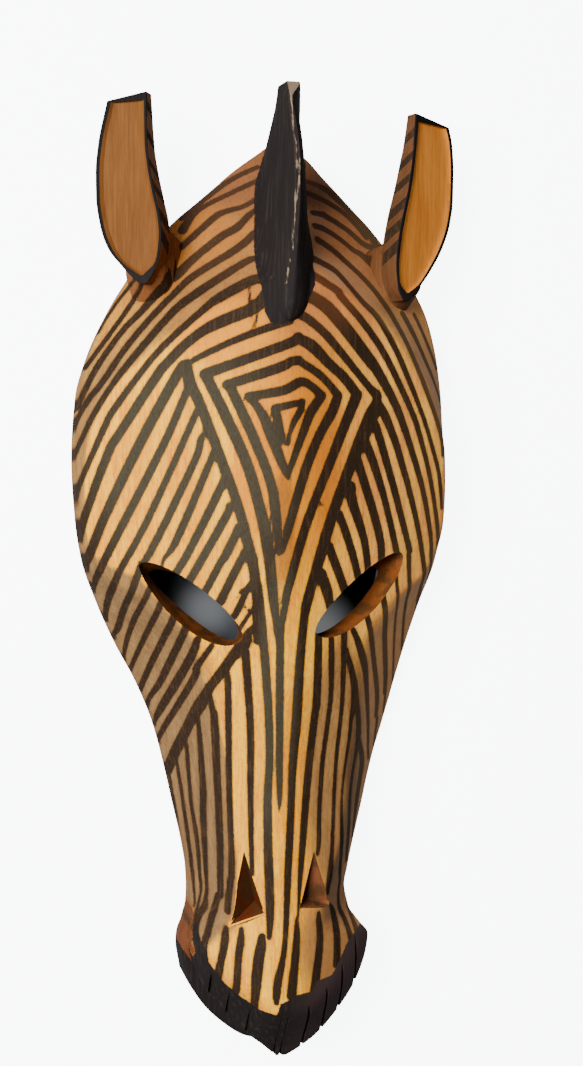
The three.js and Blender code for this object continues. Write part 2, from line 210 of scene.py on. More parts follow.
# %% A smooth curve through rows of sizes
def size_at(rows, position, column):
    """Reads one size between the rows, on a curve that never overshoots them."""
    rows = np.asarray(rows, dtype=float)
    if rows[0, 0] > rows[-1, 0]:
        rows = rows[::-1]
    at, size = rows[:, 0], rows[:, column]
    gap = np.diff(at)
    slope = np.diff(size) / gap
    lean = np.zeros(len(rows))
    lean[0], lean[-1] = slope[0], slope[-1]
    for i in range(1, len(rows) - 1):
        if slope[i - 1] * slope[i] > 0:
            near, far = 2 * gap[i] + gap[i - 1], gap[i] + 2 * gap[i - 1]
            lean[i] = (near + far) / (near / slope[i - 1] + far / slope[i])
    position = np.asarray(position, dtype=float)
    i = np.clip(np.searchsorted(at, position) - 1, 0, len(gap) - 1)
    t = np.clip((position - at[i]) / gap[i], 0, 1)
    return ((2 * t**3 - 3 * t**2 + 1) * size[i] + (t**3 - 2 * t**2 + t) * gap[i] * lean[i]
            + (-2 * t**3 + 3 * t**2) * size[i + 1] + (t**3 - t**2) * gap[i] * lean[i + 1])


def station(y, column):
    return size_at(STATIONS, y, column)


def lean_of(edge, y, reach):
    """How far an edge of the face moves sideways for each millimetre down its length."""
    return (station(y + reach, edge) - station(y - reach, edge)) / (2 * reach)


print("the face is", round(float(station(BROW, RIGHT) - station(BROW, LEFT)), 1), "mm wide at the brow")


# %% [markdown]
# ## The carved surface
# The face has a plateau that falls to both sides of a soft middle ridge, and a bevel that rises
# from the outline. Where the two meet, the lower one wins, with a soft corner between them. The
# surface is also a little uneven, as a knife and a rasp leave it, which breaks up the shine of the
# varnish. The ceiling of the hollow follows the same surface a wall's thickness below.

# %% Plateau, bevel and unevenness
RIM_LAND = 13
WALL = 15
CAVE_TOP, CAVE_FOOT = 206, -160
CAVE_SIDE_RISE, CAVE_FOOT_RISE = 3.2, 1.6
CAVE_BLEND, CAVE_FOOT_BLEND = 8, 6
MIDDLE_BLEND = 24
SIDE_BLEND = 5
RIDGE_SOFTNESS = 5
WAVES, WAVE_SEED, WAVE_TURN = 22, 11, 6.283
SHORT_WAVE, LONG_WAVE = 16, 46
UNEVEN, WAVES_TOGETHER = 0.16, 3.3


def soft_lower(a, b, blend):
    """The lower of two heights, with a soft corner where they cross."""
    h = np.clip(0.5 + 0.5 * (b - a) / blend, 0, 1)
    return b * (1 - h) + a * h - blend * h * (1 - h)


def lie(x, y):
    """Height of the plateau at a point, how far in from the outline it lies, and the edges' lean."""
    left_lean, right_lean = lean_of(LEFT, y, 5), lean_of(RIGHT, y, 5)
    from_left = (x - station(y, LEFT)) / np.hypot(1, left_lean)
    from_right = (station(y, RIGHT) - x) / np.hypot(1, right_lean)
    off = x - station(y, RIDGE_X)
    beside = np.hypot(off, RIDGE_SOFTNESS) - RIDGE_SOFTNESS
    front = station(y, RIDGE) - station(y, FALL) * beside - station(y, ROUNDNESS) * off * off
    return front, soft_lower(from_left, from_right, MIDDLE_BLEND), left_lean, right_lean


def tool_waves(x, y):
    """Long shallow waves from the rasp, the same in every run."""
    dice = np.random.default_rng(WAVE_SEED)
    total = 0
    for _ in range(WAVES):
        heading = dice.uniform(0, np.pi)
        length = dice.uniform(SHORT_WAVE, LONG_WAVE)
        start = dice.uniform(0, 6.3)
        total = total + np.sin((x * np.cos(heading) + y * np.sin(heading)) * WAVE_TURN / length + start)
    return total * UNEVEN / WAVES_TOGETHER


def face(x, y):
    """Height of the carved surface: the lower of plateau and bevel, and the rasp's waves."""
    front, inward, _, _ = lie(x, y)
    bevel = station(y, UPRIGHT) + station(y, BEVEL) * inward
    return soft_lower(front, bevel, SIDE_BLEND) + tool_waves(x, y)


def cave(x, y):
    """Ceiling of the hollow."""
    front, inward, _, _ = lie(x, y)
    steep = station(y, BEVEL)
    under = station(y, UPRIGHT) + steep * inward - WALL * np.hypot(1, steep)
    side, foot = CAVE_SIDE_RISE * (inward - RIM_LAND), CAVE_FOOT_RISE * (y - CAVE_FOOT)
    walls = soft_lower(side, foot, CAVE_FOOT_BLEND)
    roof = soft_lower(soft_lower(front - WALL - 1, under, CAVE_BLEND), walls, CAVE_BLEND)
    return np.maximum(0, roof)


ridge_height, ceiling = (round(float(shape(station(BROW, RIDGE_X), BROW)), 1) for shape in (face, cave))
print("ridge over the brow", ridge_height, "mm, ceiling behind it", ceiling, "mm")

# %% [markdown]
# ## The head
# The blank of the head is a sheet of about 1.3 mm squares pressed to the face. Its columns are
# spaced along the surface and not across it, so the steep bevels get as many squares as the flat
# brow. The border is then drawn down to the table and closed, which makes a solid.

# %% The blank of the head
FRONT_COLUMNS, FRONT_ROWS = 164, 384
SAMPLES = 500
TABLE, BELOW = 0, -4


def section_row(y, left, right, height, columns):
    """Points across the face at one height, evenly spaced along the surface."""
    x = np.linspace(left, right, SAMPLES)
    z = height(x, np.full_like(x, y))
    along = np.concatenate([[0], np.cumsum(np.hypot(np.diff(x), np.diff(z)))])
    x = np.interp(np.linspace(0, along[-1], columns + 1), along, x)
    z = height(x, np.full_like(x, y))
    return np.stack([x, np.full_like(x, y), z], -1)


def head_blank():
    rows = np.linspace(MUZZLE_END, CROWN_TOP, FRONT_ROWS + 1)
    grid = [section_row(y, station(y, LEFT), station(y, RIGHT), face, FRONT_COLUMNS) for y in rows]
    return press_sheet("carved_mask_visual", grid, TABLE)


mask = mark(head_blank(), FRONT)
print("blank:", len(mask.data.polygons), "faces")

# %% The hollow behind
CAVE_COLUMNS, CAVE_ROWS = 60, 110


def cave_plug():
    grid = []
    for y in np.linspace(CAVE_FOOT, CAVE_TOP, CAVE_ROWS + 1):
        _, _, left_lean, right_lean = lie(0.0, y)
        left = station(y, LEFT) + RIM_LAND * np.hypot(1, left_lean)
        right = station(y, RIGHT) - RIM_LAND * np.hypot(1, right_lean)
        middle = (left + right) / 2
        grid.append(section_row(y, min(left, middle - 1), max(right, middle + 1), cave, CAVE_COLUMNS))
    return press_sheet("cave_plug", grid, BELOW)


hollow = cave_plug()
print("hollow:", len(hollow.data.polygons), "faces")

# %% [markdown]
# ## The lower jaw and the mouth
# The jaw is a thick plate that stands out round the upper lip, with a rounded upper edge. The
# mouth between the two is a slit sawn round the muzzle. The slit is a flat slab with the muzzle's
# core left out of it.

# %% The jaw
JAW_CENTRE, JAW_MIDDLE, JAW_HEIGHT, JAW_SOFT = 4.9, -200, 28, 3
JAW_WIDTHS = [
    [-166, 30], [-176, 38], [-181, 41.5], [-184.5, 45.4], [-192.4, 49.2], [-201, 50],
    [-211, 48.3], [-215.5, 47], [-228.6, 38.3], [-238, 28.7], [-245, 18.9], [-247.6, 11], [-248.4, 0],
]


def smooth_path(points, steps, closed=False):
    """A rounded path through a few points."""
    points = np.asarray(points, dtype=float)
    count = len(points)
    path = []
    for i in range(count if closed else count - 1):
        pick = [(i + k) % count if closed else min(max(i + k, 0), count - 1) for k in (-1, 0, 1, 2)]
        a, b, c, d = points[pick]
        for t in np.arange(steps) / steps:
            path.append(0.5 * (2 * b + (c - a) * t + (2 * a - 5 * b + 4 * c - d) * t**2
                               + (3 * b - a - 3 * c + d) * t**3))
    if not closed:
        path.append(points[-1])
    return np.array(path)


def jaw():
    right = smooth_path([[JAW_CENTRE + w, y] for y, w in JAW_WIDTHS], 6)
    left = smooth_path([[JAW_CENTRE - w, y] for y, w in JAW_WIDTHS[::-1]], 6)[1:]
    outline = np.concatenate([right, left])
    outward = outline - [JAW_CENTRE, JAW_MIDDLE]
    outward /= np.linalg.norm(outward, axis=1)[:, None]
    upright = [(0, 0), (12, 0), (JAW_HEIGHT - JAW_SOFT, 0)]
    round_edge = [(JAW_HEIGHT - JAW_SOFT * (1 - math.sin(a)), JAW_SOFT * (1 - math.cos(a)))
                  for a in np.radians([18, 36, 54, 72, 90])]
    rings = []
    for z, inset in upright + round_edge:
        ring = outline - outward * inset
        rings.append(np.column_stack([ring, np.full(len(ring), z)]))
    return draw_out("jaw", rings)


# %% The slit of the mouth
MOUTH_LOW, MOUTH_HIGH, MOUTH_DEPTH, MOUTH_CORNER = 28, 33.5, 11, -181
SLAB_SIDE, SLAB_END = 80, -290
CORE_TOP, CORE_ROWS = -170, 40


def mouth_saw():
    slab = draw_out("mouth_saw", [[[-SLAB_SIDE, SLAB_END, z], [SLAB_SIDE, SLAB_END, z],
                                   [SLAB_SIDE, MOUTH_CORNER, z], [-SLAB_SIDE, MOUTH_CORNER, z]]
                                  for z in (MOUTH_LOW, MOUTH_HIGH)])
    rows = np.linspace(MUZZLE_END + MOUTH_DEPTH * 1.2, CORE_TOP, CORE_ROWS)

    def inside_of(edge):
        return MOUTH_DEPTH * np.minimum(1.6, np.hypot(1, lean_of(edge, rows, 4)))
    left = np.minimum(station(rows, LEFT) + inside_of(LEFT), JAW_CENTRE - 1)
    right = np.maximum(station(rows, RIGHT) - inside_of(RIGHT), JAW_CENTRE + 1)
    core = [np.vstack([np.column_stack([right, rows, np.full(CORE_ROWS, z)]),
                       np.column_stack([left, rows, np.full(CORE_ROWS, z)])[::-1]])
            for z in (MOUTH_LOW - 2, MOUTH_HIGH + 2)]
    work(slab, draw_out("core", core), "DIFFERENCE", INSIDE)
    return slab


# %% [markdown]
# ## The forelock
# A ridged horn stands up from the brow and runs free past the crown. Each of its rings is a
# rounded roof: a worn ridge, two shoulders and two straight feet that sink into the skull.

# %% The forelock's rings
# Y, ridge X, ridge height, middle X, half width, height of its foot, depth sunk below the foot
FORELOCK = [
    [130.5, 1.4, 83.5, 1.4, 2.5, 82, 8], [133, 1.6, 86.5, 1.6, 6.5, 82, 10],
    [137.5, 2.0, 88.5, 2.0, 9.8, 81.5, 12], [143, 2.6, 90, 2.6, 12.3, 80, 12],
    [150, 2.8, 91.5, 2.8, 14, 77, 12], [161, 3.0, 93.5, 3.0, 15, 71, 12],
    [175, 3.2, 96.5, 3.0, 14.6, 64, 12], [190, 3.6, 99.3, 3.0, 13.6, 58, 10],
    [205, 3.7, 100, 2.9, 12.2, 58, 4], [222, 2.6, 99.5, 2.7, 9.9, 63, 3],
    [236, 0.6, 98, 2.7, 7.4, 69, 3], [242.5, -0.4, 97, 2.8, 6.6, 73, 3],
    [252.3, 2.6, 96, 3, 5.9, 76, 2],
]
FORELOCK_FRONT, FORELOCK_END = FORELOCK[0][0], FORELOCK[-1][0]
SAWN_TOP, SAWN_SLANT = (242.5, 97), 1.02
RIDGE_WEAR, ROOF_FALL, SHOULDER, SHOULDER_SOFT = 0.10, 0.75, 1.318, 0.06


def forelock():
    share = np.linspace(-1, 1, 33)
    aside = np.hypot(share, RIDGE_WEAR) - RIDGE_WEAR
    roof = soft_lower(1 - ROOF_FALL * aside, SHOULDER * (1 - np.abs(share)), SHOULDER_SOFT)
    roof = np.clip(roof, 0, 1)
    rings = []
    for y in np.concatenate([np.linspace(FORELOCK_FRONT, SAWN_TOP[0], 76),
                             np.linspace(SAWN_TOP[0] + 0.6, FORELOCK_END, 16)]):
        ridge, top, middle, half, foot, sunk = (float(size_at(FORELOCK, y, c)) for c in range(1, 7))
        x = middle + share * half + (ridge - middle) * (1 - np.abs(share))
        z = np.minimum(foot + (top - foot) * roof, SAWN_TOP[1] - SAWN_SLANT * (y - SAWN_TOP[0]))
        ring = [*zip(x, [y] * len(x), z), (middle + half * 0.8, y, foot - sunk),
                (middle - half * 0.8, y, foot - sunk)]
        rings.append(ring)
    return draw_out("forelock", rings)


# %% [markdown]
# ## The ears
# An ear is a flat leaf that stands on edge behind the brow, turned out by thirty degrees, with a
# shallow dish inside a narrow rim, and a root that flares down into the crown. Its points are
# given in its own directions: across the leaf, up it, and back from its front.

# %% Where the ears stand
EARS = [
    {"side": -1, "at": (-76, 51), "turn": 30, "foot": 153, "top": 98.6,
     "leaf": [[0, -9.5, -5.5], [4.5, -13.0, -0.2], [10.5, -15.6, 5.6], [17, -17.2, 11.2],
              [25, -17.9, 15.2], [32, -17.3, 17.2], [46, -14.3, 19.3], [59, -11.6, 19.5],
              [72.5, -10.0, 18.2], [95.4, -9.5, 12.9]]},
    {"side": 1, "at": (84, 48), "turn": 30, "foot": 148.2, "top": 101,
     "leaf": [[0, -17, -13], [4, -19.7, -9], [9, -21.5, -3.6], [18, -22.3, 4.4],
              [31, -20.7, 13.6], [45, -17.3, 19.8], [58, -13.6, 22.2], [75, -10.2, 22.6],
              [89, -8.2, 21.4], [97.5, -7.5, 18.7]]},
]
EAR_BACK = [[0, 9], [15, 12], [46, 12.5], [72, 10.5], [89, 8], [101, 6]]
EAR_BACK_WIDTH, EAR_EDGE = 0.9, 1.1
EAR_RIM, EAR_DISH = 2.2, {-1: 2.4, 1: 1.4}
EAR_ROOT = [[3, 3, 34, -14, 4], [12, -4, 33, -16, 7], [24, -12, 30, -17, 9], [36, -18, 26, -18, 10]]


def ear_point(ear, across, up, back):
    """A point given in the ear's own directions, as a point of the mask."""
    turn = math.radians(ear["turn"])
    x = ear["at"][0] + ear["side"] * (across * math.cos(turn) - back * math.sin(turn))
    z = ear["at"][1] - across * math.sin(turn) - back * math.cos(turn)
    return np.stack(np.broadcast_arrays(x, ear["foot"] + up, z), -1)


def rounded(corners, radius, steps=4):
    """A closed ring of corners, each one rounded off."""
    corners = np.asarray(corners, dtype=float)
    ring = []
    for i, corner in enumerate(corners):
        before, after = corners[i - 1] - corner, corners[(i + 1) % len(corners)] - corner
        reach = min(radius, 0.4 * np.linalg.norm(before), 0.4 * np.linalg.norm(after))
        start = corner + before / np.linalg.norm(before) * reach
        end = corner + after / np.linalg.norm(after) * reach
        for t in np.arange(steps) / (steps - 1):
            ring.append((1 - t)**2 * start + 2 * t * (1 - t) * corner + t**2 * end)
    return np.array(ring)


# %% The leaf, the root and the dish of an ear
def ear_leaf(ear):
    rows = np.array(ear["leaf"])
    high = rows[-1, 0]
    rings = []
    for up in np.concatenate([np.linspace(0, 12, 9), np.linspace(13.6, high, 52)]):
        inner, outer = size_at(rows, up, 1), size_at(rows, up, 2)
        far = inner + (outer - inner) * EAR_BACK_WIDTH
        back = size_at(EAR_BACK, up, 1)
        slant = (ear["top"] - high) * np.clip((up - 0.85 * high) / (0.15 * high), 0, 1)
        corners = [[inner, up + slant, 0], [outer, up, 0], [far, up, back], [inner, up + slant, back]]
        edges = zip(corners, corners[1:] + corners[:1], (9, 5, 5, 5))
        ring = rounded(np.vstack([np.linspace(a, b, n + 1)[:-1] for a, b, n in edges]), EAR_EDGE, 3)
        rings.append(ear_point(ear, ring[:, 0], ring[:, 1], ring[:, 2]))
    return draw_out("ear_leaf", rings)


def ear_root(ear):
    shift = (ear["leaf"][0][1] - EARS[0]["leaf"][0][1]) * 0.6
    rings = []
    for back in np.linspace(EAR_ROOT[0][0], EAR_ROOT[-1][0], 14):
        low, high, inner, outer = (float(size_at(EAR_ROOT, back, c)) for c in range(1, 5))
        corner = (outer - inner) * 0.28
        a, b = inner + shift, outer + shift
        ring = rounded([[a, low + corner], [a + corner, low], [b - corner, low], [b, low + corner],
                        [b, high], [a, high]], 6)
        rings.append(ear_point(ear, ring[:, 0], ring[:, 1], back))
    return draw_out("ear_root", rings)


def ear_dish(ear):
    rows = np.array([[h, inner + EAR_RIM * 0.5, outer - EAR_RIM] for h, inner, outer in ear["leaf"][2:]])
    rows[-1, 0] -= 0.9
    tip = (ear["leaf"][1][1] + ear["leaf"][1][2]) / 2
    rows = np.vstack([[4.2, tip - 1, tip + 1], rows])
    share = np.linspace(0, 1, 15)
    rings = []
    for up in np.linspace(rows[0, 0], rows[-1, 0], 56):
        inner, outer = size_at(rows, up, 1), size_at(rows, up, 2)
        across = inner + (outer - inner) * share
        reach = np.minimum(across - inner, outer - across)
        depth = EAR_DISH[ear["side"]] * (1 - np.exp(-reach / 1.2)) - 0.2
        depth[[0, -1]] = -0.4
        ring = np.vstack([np.column_stack([across, depth]), [[outer, -6], [inner, -6]]])
        rings.append(ear_point(ear, ring[:, 0], np.full(len(ring), up), ring[:, 1]))
    return draw_out("ear_dish", rings)


# %% [markdown]
# ## Eyes, nostrils and the grooves of the lip
# The eyes are almonds that narrow as they go through the wood, so that their lower and outer walls
# show. The nostrils are three-cornered notches whose deepest point lies beside the ridge. Short
# grooves across the black lip stand for its creases.

# %% The eyes
EYES = [
    {"outer": (-72, 9), "inner": (-20.5, -30), "rise": 8.2, "drop": 12.9, "skew": 1.45, "start": 0.17,
     "narrow": 0.34},
    {"outer": (71, 15), "inner": (18, -27), "rise": 7.8, "drop": 13, "skew": 1.2, "start": 0.3,
     "narrow": 0.5},
]
EYE_BACK, EYE_BACK_RISE = 20, 1.3
EYE_LIFT = 0.9


def almond(eye, start, over, under, steps=36):
    """One ring of an eye: the upper lid from the outer corner, then the lower lid back."""
    outer, inner = np.array(eye["outer"], dtype=float), np.array(eye["inner"], dtype=float)
    length = np.linalg.norm(inner - outer)
    along = (inner - outer) / length
    up = np.array([-along[1], along[0]])
    up *= np.sign(up[1])
    t = (1 - np.cos(np.linspace(0, np.pi, steps))) / 2
    middle = (start + t * (1 - start))[:, None] * length * along + outer

    def lid(tall, skew):
        return (tall * np.sqrt(np.maximum(0, 4 * t**skew * (1 - t**skew))))[:, None] * up
    upper = middle + over * lid(eye["rise"], 1)
    lower = middle - under * lid(eye["drop"], eye["skew"])
    return np.vstack([upper, lower[1:-1][::-1]])


def eye_cut(eye):
    front = almond(eye, 0, 1, 1)
    back = almond(eye, eye["start"], EYE_BACK_RISE, eye["narrow"])
    raised = front + EYE_LIFT * (front - back)
    high = face(front[:, 0], front[:, 1]) + EYE_LIFT * EYE_BACK
    low = face(back[:, 0], back[:, 1]) - EYE_BACK
    return draw_out("eye_cut", [np.column_stack([raised, high]), np.column_stack([back, low]),
                                np.column_stack([back, np.full(len(back), BELOW)])])


# %% The nostrils
NOSTRILS = [
    {"top": (-17, -140.7), "near": (-7.3, -172.3), "far": (-24.9, -180.4), "deep": (-9.5, -169, 47)},
    {"top": (20.4, -142.3), "near": (11.5, -170.5), "far": (29.5, -172), "deep": (13, -167, 52)},
]


def nostril_cut(nostril):
    corners = np.array([nostril["top"], nostril["near"], nostril["far"]])
    surface = np.column_stack([corners, face(corners[:, 0], corners[:, 1])])
    deep = np.array(nostril["deep"])
    rings = [surface + [0, 0, 15], surface, deep + (surface - deep) * 0.02]
    return draw_out("nostril_cut", rings)


def nostril_sill(nostril):
    """A thin bare bevel along the lower edge of a nostril."""
    rings = []
    size = 1 if nostril["near"][0] < 0 else 0.5
    for x, y in (nostril["far"], nostril["near"]):
        z = float(face(np.array(x), np.array(y)))
        rings.append([(x, y - 1.7 * size, z + 0.4), (x, y + 2.5, z + 0.6), (x, y + 2.5, z - 3.2 * size)])
    return draw_out("nostril_sill", rings)


# %% The creases of the lip
# X of each crease, and how deep it cuts
LIP_GROOVES = [(-33, 1.2), (-24, 1.4), (-13.6, 1.2), (1.6, 0.8), (5, 0.8), (16.4, 1.3), (26.9, 1.7),
               (36.5, 2), (45.4, 2)]
GROOVE_WIDTH = 1.8
BAND_LOW, BAND_CURVE = -225, 0.0176


def band_edge(x):
    """Inner border of the black lip band."""
    return BAND_LOW + BAND_CURVE * (x - 1)**2


def lip_groove(x, depth):
    y = MUZZLE_END + 0.5
    while y < -182 and (station(y, LEFT) > x - 0.5 or station(y, RIGHT) < x + 0.5):
        y += 0.5
    start_y = max(band_edge(x), y + 6)
    half = GROOVE_WIDTH / 2

    def ring(at, z, deep):
        return [[x - half, at, z + 0.4], [x, at + deep * 0.7, z - deep], [x + half, at, z + 0.4],
                [x, at - 4, z + 8]]
    low = MOUTH_HIGH - 3
    under = [[x - half, y - 2, low], [x, y + depth, low], [x + half, y - 2, low], [x, y - 8, low]]
    return draw_out("lip_groove", [ring(start_y, face(x, start_y) + 0.6, 0.4),
                                   ring(y - 2, face(x, y + 0.5) - 3, depth + 1), under])


# %% Carving the mask
for piece, kind in [(jaw(), JAW), (forelock(), CREST), *((ear_leaf(ear), EAR) for ear in EARS),
                    *((ear_root(ear), ROOT) for ear in EARS)]:
    work(mask, piece, "UNION", kind)
for piece, kind in [(hollow, INSIDE), (mouth_saw(), INSIDE), *((eye_cut(eye), LID) for eye in EYES),
                    *((nostril_cut(nostril), NOSTRIL) for nostril in NOSTRILS),
                    *((nostril_sill(nostril), CREASE) for nostril in NOSTRILS),
                    *((ear_dish(ear), DISH) for ear in EARS),
                    *((lip_groove(*groove), CREASE) for groove in LIP_GROOVES)]:
    work(mask, piece, "DIFFERENCE", kind)
open_whole(mask)
bpy.ops.mesh.remove_doubles(threshold=0.02 * MM)
bpy.ops.object.mode_set(mode="OBJECT")
bpy.ops.object.shade_smooth_by_angle(angle=math.radians(32))
triangles = sum(len(p.vertices) - 2 for p in mask.data.polygons)
print("carved mask:", triangles, "triangles")

# %% [markdown]
# ## The burnt pattern
# The stripes are drawn into the wood with a hot iron, stroke by stroke, and each field of the face
# has its own direction: arches over the crown, long slants on the brow, nested diamonds between
# the eyes, straight lines down the nose. So the pattern here is a set of strokes too. Each stroke
# is a row of (x, y, width) in millimetres, as the carver sees the face from the front.

# %% The strokes
CROWN_ARCHES = [
    [(-45, 193, 2.8), (-21.5, 213, 3), (-4, 222, 2.7)],
    [(-45, 186, 4.7), (-40, 194, 3.8), (-32, 200.5, 2.9), (-5.5, 213.5, 2.9)],
    [(-46.5, 175.5, 2.5), (-45.5, 177, 3.3), (-29.5, 192, 3.8), (-24, 195.5, 3.5), (-13.5, 198.5, 2.8),
     (-5.5, 203.5, 2.9)],
    [(19.5, 215, 2.7), (30.5, 213, 3.3), (40, 208, 4.8), (55.5, 194.5, 5.4), (61.5, 185.5, 6)],
    [(21, 207.5, 3.4), (30.5, 205, 3.3), (42, 200, 3.4), (50, 193.5, 3.5), (56, 186.5, 3.8)],
    [(23, 195.5, 3.1), (29.5, 195.5, 3.8), (31.5, 194.5, 3.9), (43, 189, 3.4), (55, 181, 3.8),
     (64.5, 181.5, 4)],
    [(22.5, 187, 3.8), (28.5, 186, 3.6), (38.5, 181.5, 3.2), (46, 176.5, 3.2), (51, 174.5, 4.1),
     (58.5, 168, 4.8)],
]
LEFT_BROW = [
    [(-104, 71.5, 1.4), (-101, 84, 2.2), (-95.5, 94.5, 3.2), (-89, 103, 3.3), (-77, 121, 3.3),
     (-63, 138, 3.4), (-51, 150.5, 3.5), (-42.5, 158.5, 3.9), (-20.5, 172.5, 4.2), (-11, 181, 4.1)],
    [(-101, 90.5, 3), (-92, 110, 3.1), (-78.5, 130, 3.2), (-69, 140, 3.6), (-60, 150.5, 4.8),
     (-57, 152.5, 5.2), (-54.5, 158, 5.6), (-50.5, 159.5, 5.3), (-41, 169, 4.3), (-27, 180.5, 4.4),
     (-20, 184.5, 4.6), (-16.5, 187.5, 3.9), (-12, 192.5, 3.5), (-7.5, 196, 3)],
    [(-90, 130, 1.3), (-81.5, 144.5, 1.7), (-70.5, 159, 2.2)],
    [(-96.5, 112, 2.5), (-72, 147, 2.6), (-69.5, 157, 2)],
    [(-103.5, 56, 1.3), (-102.5, 65, 2), (-95, 83.5, 2.9), (-85, 100.5, 3.1), (-74.5, 114.5, 3.7),
     (-56, 136.5, 4), (-44.5, 146.5, 4.7), (-18, 164, 4), (-12, 165.5, 3.2)],
    [(-102, 36.5, 2.2), (-100.5, 50, 2.7), (-88.5, 79.5, 3.6), (-83.5, 89, 3.6), (-68.5, 110, 3.4),
     (-58, 122, 3.5), (-39.5, 139, 3.9), (-32, 144.5, 5.3), (-17.5, 152.5, 5.7), (-12, 153.5, 5.7)],
    [(-100, 18, 2.6), (-98, 33, 4.1), (-87, 65.5, 4.7), (-81.5, 75.5, 4.7), (-63.5, 104.5, 5),
     (-59, 110.5, 5), (-51, 119, 5), (-42.5, 126, 5.2), (-33.5, 131, 6.1), (-16, 138.5, 6.5),
     (-10.5, 145, 6.2)],
    [(-95.5, 0.5, 1.4), (-96, 9, 2.4), (-95.5, 12.5, 4.6), (-87.5, 35, 5), (-71, 71.5, 5.3),
     (-55.5, 101.5, 5.4), (-50.5, 109.5, 5.9)],
    [(-91.5, -8, 1.6), (-92, -3, 2.7), (-88, 10.5, 4.2), (-66, 57, 4.3), (-57, 76.5, 4.1),
     (-47.5, 100.5, 3.9)],
    [(-84.5, -22.5, 1.8), (-85.5, -17.5, 2.9), (-84, -6, 4), (-80.5, 5, 3.7), (-68, 30, 3.7),
     (-43.5, 87.5, 3.5)],
    [(-70.5, 9, 2.5), (-66, 14.5, 4), (-45.5, 60, 3.9), (-42, 72, 3.6), (-41, 73.5, 2.3), (-40, 80, 2.1)],
    [(-60.5, 5.5, 1), (-59, 11.5, 2), (-55.5, 16.5, 3.5), (-51, 26.5, 4.1), (-35, 67, 3.7)],
    [(-54, 3, 3.9), (-46.5, 16.5, 4.2), (-30, 52.5, 4.5)],
    [(-47, -0.5, 4.2), (-29.5, 33, 4.5), (-28, 38.5, 3.5)],
    [(-39, -5.5, 3.8), (-31.5, 10, 4.1), (-29.5, 13, 4.5), (-23, 27.5, 4.7)],
    [(-31.5, -10.5, 4.6), (-19.5, 16, 4.3)],
]
RIGHT_BROW = [
    [(22.5, 178.5, 4.1), (34.5, 172, 3.8), (51, 157, 3.8), (59, 146, 4.4), (67, 132.5, 4),
     (83.5, 98.5, 3.2), (92.5, 77.5, 3), (94, 66.5, 2.2)],
    [(17, 166, 4.5), (27.5, 162, 4.3), (32.5, 157.5, 4), (42, 145, 3.7), (50, 138.5, 3.7),
     (57, 129.5, 3.8), (68.5, 110, 3.5), (80, 87, 2.9), (90, 61.5, 2.7), (93, 48, 2.6), (94, 38, 2.1)],
    [(72.5, 142.5, 4.3), (96.5, 100.5, 2.6), (98.5, 94, 1.5)],
    [(82, 144, 2.6), (90, 129.5, 2.6), (97.5, 115, 2.4)],
    [(14.5, 155.5, 4.5), (28, 148.5, 4.2), (29.5, 146, 4.1), (51.5, 123.5, 4.1), (71.5, 91.5, 3.8),
     (78.5, 75.5, 3.5), (86, 52.5, 3), (91.5, 28.5, 2.8), (92.5, 18, 2.2)],
    [(8.5, 146, 6.4), (17, 142.5, 6.8), (25.5, 136.5, 7.4), (45, 116, 7.2), (52, 108, 6), (63.5, 90, 5.1),
     (71.5, 72, 4.2), (80.5, 48.5, 3.7), (86, 28, 3.1), (88, 18, 2.7), (88.5, 10, 2.5), (91.5, -8, 1.9)],
    [(51.5, 91.5, 5.9), (55.5, 86.5, 5.6), (59, 80, 5), (66, 63.5, 4.4), (80, 21.5, 3.3), (87, -15.5, 3),
     (84.5, -31, 1.9)],
    [(48, 83.5, 5.5), (53, 73.5, 4.9), (73.5, 15, 3.9)],
    [(43.5, 73, 5.9), (49.5, 60.5, 5.1), (57.5, 39, 4.1), (65.5, 12.5, 4.1)],
    [(39.5, 62.5, 5.3), (53.5, 24.5, 5.1), (55.5, 10, 4.2)],
    [(35.5, 48, 7.1), (37, 40.5, 6.1), (44.5, 21, 4.7), (47.5, 5, 4.2)],
    [(29.5, 34, 4.7), (37, 16, 4.7), (41.5, 2, 4.4)],
    [(24, 17.5, 5.3), (34, -5.5, 4.9)],
    [(19.5, 3.5, 6.7), (23.5, -5.5, 6.1), (25.5, -13.5, 4.5)],
]
